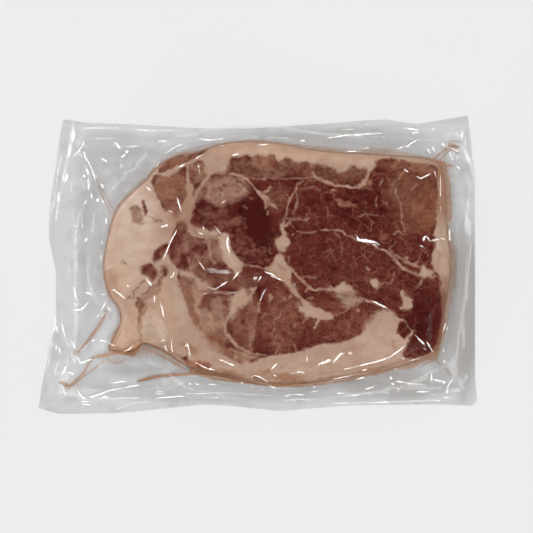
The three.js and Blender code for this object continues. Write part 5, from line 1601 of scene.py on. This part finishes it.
class PORK_OT_film(bpy.types.Operator):
    """Makes the film: drawn tight over the chop, loose and creased round it, flat at the seal"""

    bl_idname = "pork.film"
    bl_label = "Vacuum film"

    def execute(self, context):
        film = add_sheet("vacuum_film", (-151, -103), (151, 103), FILM_STEP, pouch_depth)
        # The grid is finer along the creases and round the chop's rim.
        for beyond, rim_reach in ((1.0, 1.9), (0.2, 0)):
            x, y = middles_of(film)
            near = np.abs(chop_depth(x, y) - 0.5) < rim_reach
            for width, _, line in crease_lines():
                reach = width / 2 + beyond
                near |= distance(x, y, line, reach=reach) < reach
            choose(film, "FACE", near)
            bpy.ops.mesh.subdivide(number_cuts=1)
            bpy.ops.object.mode_set(mode="OBJECT")
        points = points_of(film)
        x, y = points[:, 0], points[:, 1]
        points[:, 2] = film_height(x, y)
        place_points(film, points)

        slope = np.hypot(*slopes(partial(film_height, creased=False), x, y, 0.4))
        away = -chop_depth(x, y)
        loose = smooth_step(0, 4, away)
        tent = loose * (1 - smooth_step(7, 14, away))

        # Folds, streaks, clouds and dark bands let less light through.
        streaks = along_edges(x, y, *STREAKS)
        folded = 0.5 * smooth_step(0.15, 0.7, slope) * smooth_step(12, 18, away)
        clouded = noise(x, y, 10, 131) + 0.8 * noise(x, y, 4, 132)
        clouded = 0.2 * smooth_step(0.0, 0.9, streaks) + 0.26 * smooth_step(0.0, 1.1, clouded)
        folded = np.maximum(folded + loose * clouded, loose * bands(x, y, DARK_BANDS))
        dark = loose * spread(x, y, DARKER_FILM)
        folded = np.clip(folded * (1 - dark) + dark, 0, 1)

        # Other streaks are milky.
        fine = along_edges(x, y, 1.4, 50, 25)
        milky = 0.12 + 0.5 * smooth_step(0.1, 0.9, -streaks) + 0.4 * smooth_step(0.2, 0.9, fine)

        # Pale bands and a net of fine wrinkles: milky film, painted pale where the film shows a
        # soft sheen, so partly a painted sheen. Round the chop, where there is no juice, painted
        # light lifts the shadow that the chop casts round it.
        wrinkled = smooth_step(0.5, 1.0, crumple(x, y, 10, 141))
        wrinkled += smooth_step(0.6, 1.0, crumple(x, y, 4.5, 151))
        wrinkled *= (1 - tent) * smooth_step(-0.3, 0.7, noise(x, y, 16, 161))
        wrinkled *= smooth_step(6, 12, pouch_depth(x, y))
        pale = loose * (bands(x, y, MILKY_SHEEN_BANDS) + 0.12 * wrinkled) + 0.05 * tent
        # Painted light over the chop's shadow, uneven along its rim.
        uneven_shadow_lift = np.clip(0.7 + 0.6 * noise(arc(x, y), away, 4, 171), 0.2, 1.2)
        dry = (1 - smooth_step(0.28, 0.5, juice_field(x, y)[1])) * (1 - smooth_step(95, 115, x))
        pale += 0.14 * dry * uneven_shadow_lift * smooth_step(-1, 1, away) * (1 - smooth_step(3, 9, away))

        _, gleam, lean = crease_field(x, y)
        facets = np.concatenate([lean, np.ones((len(x), 1))], axis=1) * (gleam > 0)[:, None]
        extrude_rim(film, lambda at: at * (1, 1, 0))
        close_below(film)
        shade(film)
        store(
            film, folded=folded, milky=milky * loose, pale=pale,
            lifted=np.maximum(0.1 * (loose - tent), gleam), facets=facets,
        )
        dress(film, clear_film(), "clear_film", "vacuum_pouch")
        return {"FINISHED"}


class PORK_OT_juice(bpy.types.Operator):
    """Makes the juice: thin layers between the films, pooled round the chop and run into folds"""

    bl_idname = "pork.juice"
    bl_label = "Meat juice"

    def execute(self, context):
        juice = add_sheet(
            "meat_juice", (-140, -90), (148, 90), JUICE_STEP, lambda x, y: juice_field(x, y)[0]
        )
        points = points_of(juice)
        points[:, 2] = film_height(points[:, 0], points[:, 1]) - JUICE_BELOW
        place_points(juice, points)
        layer = juice.modifiers.new("Layer", "SOLIDIFY")
        layer.thickness = context.scene.meat_juice.thickness
        layer.offset = -1
        bpy.ops.object.modifier_apply(modifier=layer.name)
        shade(juice)
        points = points_of(juice)
        store(juice, thick=juice_field(points[:, 0], points[:, 1])[1])
        dress(juice, meat_juice(), "meat_juice")
        return {"FINISHED"}


LIGHT_SLANT = 35  # degrees from straight above
LIGHT_DISTANCE = 2.2
LIGHT_WIDTH = 0.74
CAMERA_PLACE = (0.00595, -0.00123)
CAMERA_LENS = 108.6
CAMERA_SENSOR = 36
CAMERA_NEAREST = 0.05
FLOOR_DROP = 0.0002
FLOOR_HALF = 0.75


def studio_world():
    """Pale low down all round and dark overhead, so that flat film looks clear from above."""
    world = bpy.data.worlds.new("studio")
    world.use_nodes = True
    world.node_tree.nodes.clear()
    add = partial(add_node, world.node_tree)
    towards = add("TexCoord")["Generated"]
    up = add("SeparateXYZ", {0: towards})["Z"]
    light = add("MapRange", {
        "Value": up, "From Min": 0.15, "From Max": 0.8, "To Min": 0.9, "To Max": 0.0
    }, **SMOOTH)[0]
    back = add("Background", {"Color": WHITE, "Strength": light})[0]
    add("OutputWorld", {"Surface": back})
    return world


class PORK_OT_studio(bpy.types.Operator):
    """Makes the studio: a pale floor, seven soft lights, a pale surround and the camera"""

    bl_idname = "pork.studio"
    bl_label = "Studio"

    def execute(self, context):
        scene = context.scene
        settings = scene.studio
        bpy.ops.object.select_all(action="DESELECT")
        bpy.ops.mesh.primitive_plane_add(size=2 * FLOOR_HALF, location=(0, 0, -FLOOR_DROP))
        floor = context.object
        floor.name = floor.data.name = "floor"
        bpy.ops.object.transform_apply(location=True)
        floor.data.materials.append(pale_board())
        floor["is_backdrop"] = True
        slant = math.radians(LIGHT_SLANT)
        for azimuth in LIGHT_AZIMUTHS:
            around = math.radians(azimuth)
            out, up = math.sin(slant), math.cos(slant)
            towards = Vector((math.cos(around) * out, math.sin(around) * out, up))
            bpy.ops.object.light_add(type="AREA", location=towards * LIGHT_DISTANCE)
            light = context.object
            light.rotation_euler = towards.to_track_quat("Z", "Y").to_euler()
            light.data.shape = "DISK"
            light.data.size = LIGHT_WIDTH
            light.data.energy = settings.light_power
        scene.world = studio_world()
        bpy.ops.object.camera_add(
            location=(*CAMERA_PLACE, settings.camera_height), rotation=(0, 0, 0)
        )
        camera = context.object
        camera.data.sensor_width = CAMERA_SENSOR
        camera.data.lens = CAMERA_LENS
        camera.data.clip_start = CAMERA_NEAREST
        scene.camera = camera
        scene.view_settings.view_transform = "Standard"
        return {"FINISHED"}


class PORK_PT_panel(bpy.types.Panel):
    """Lists the pieces and their settings"""

    bl_idname = "PORK_PT_panel"
    bl_label = "Vacuum-packed pork chop"
    bl_space_type = "VIEW_3D"
    bl_region_type = "UI"
    bl_category = "Pork chop"

    def draw(self, context):
        for group, (_, operator) in PIECES.items():
            box = self.layout.box()
            settings = getattr(context.scene, group)
            for name in settings.__annotations__:
                box.prop(settings, name)
            box.operator(operator.bl_idname)


PIECES = {
    "studio": (StudioSettings, PORK_OT_studio),
    "pork_chop": (ChopSettings, PORK_OT_chop),
    "film_pouch": (FilmSettings, PORK_OT_film),
    "meat_juice": (JuiceSettings, PORK_OT_juice),
}
CLASSES = (*(made for pair in PIECES.values() for made in pair), PORK_PT_panel)


def register():
    for made in CLASSES:
        bpy.utils.register_class(made)
    for name, (group, _) in PIECES.items():
        setattr(bpy.types.Scene, name, bpy.props.PointerProperty(type=group))


def unregister():
    for name in PIECES:
        delattr(bpy.types.Scene, name)
    for made in reversed(CLASSES):
        bpy.utils.unregister_class(made)


def main():
    register()
    bpy.ops.pork.studio()
    bpy.ops.pork.chop()
    bpy.ops.pork.film()
    bpy.ops.pork.juice()
    {"cad": [list(c) for c in CAD_BOX], "scene": [list(c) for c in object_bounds()]}


if __name__ == "__main__":
    main()
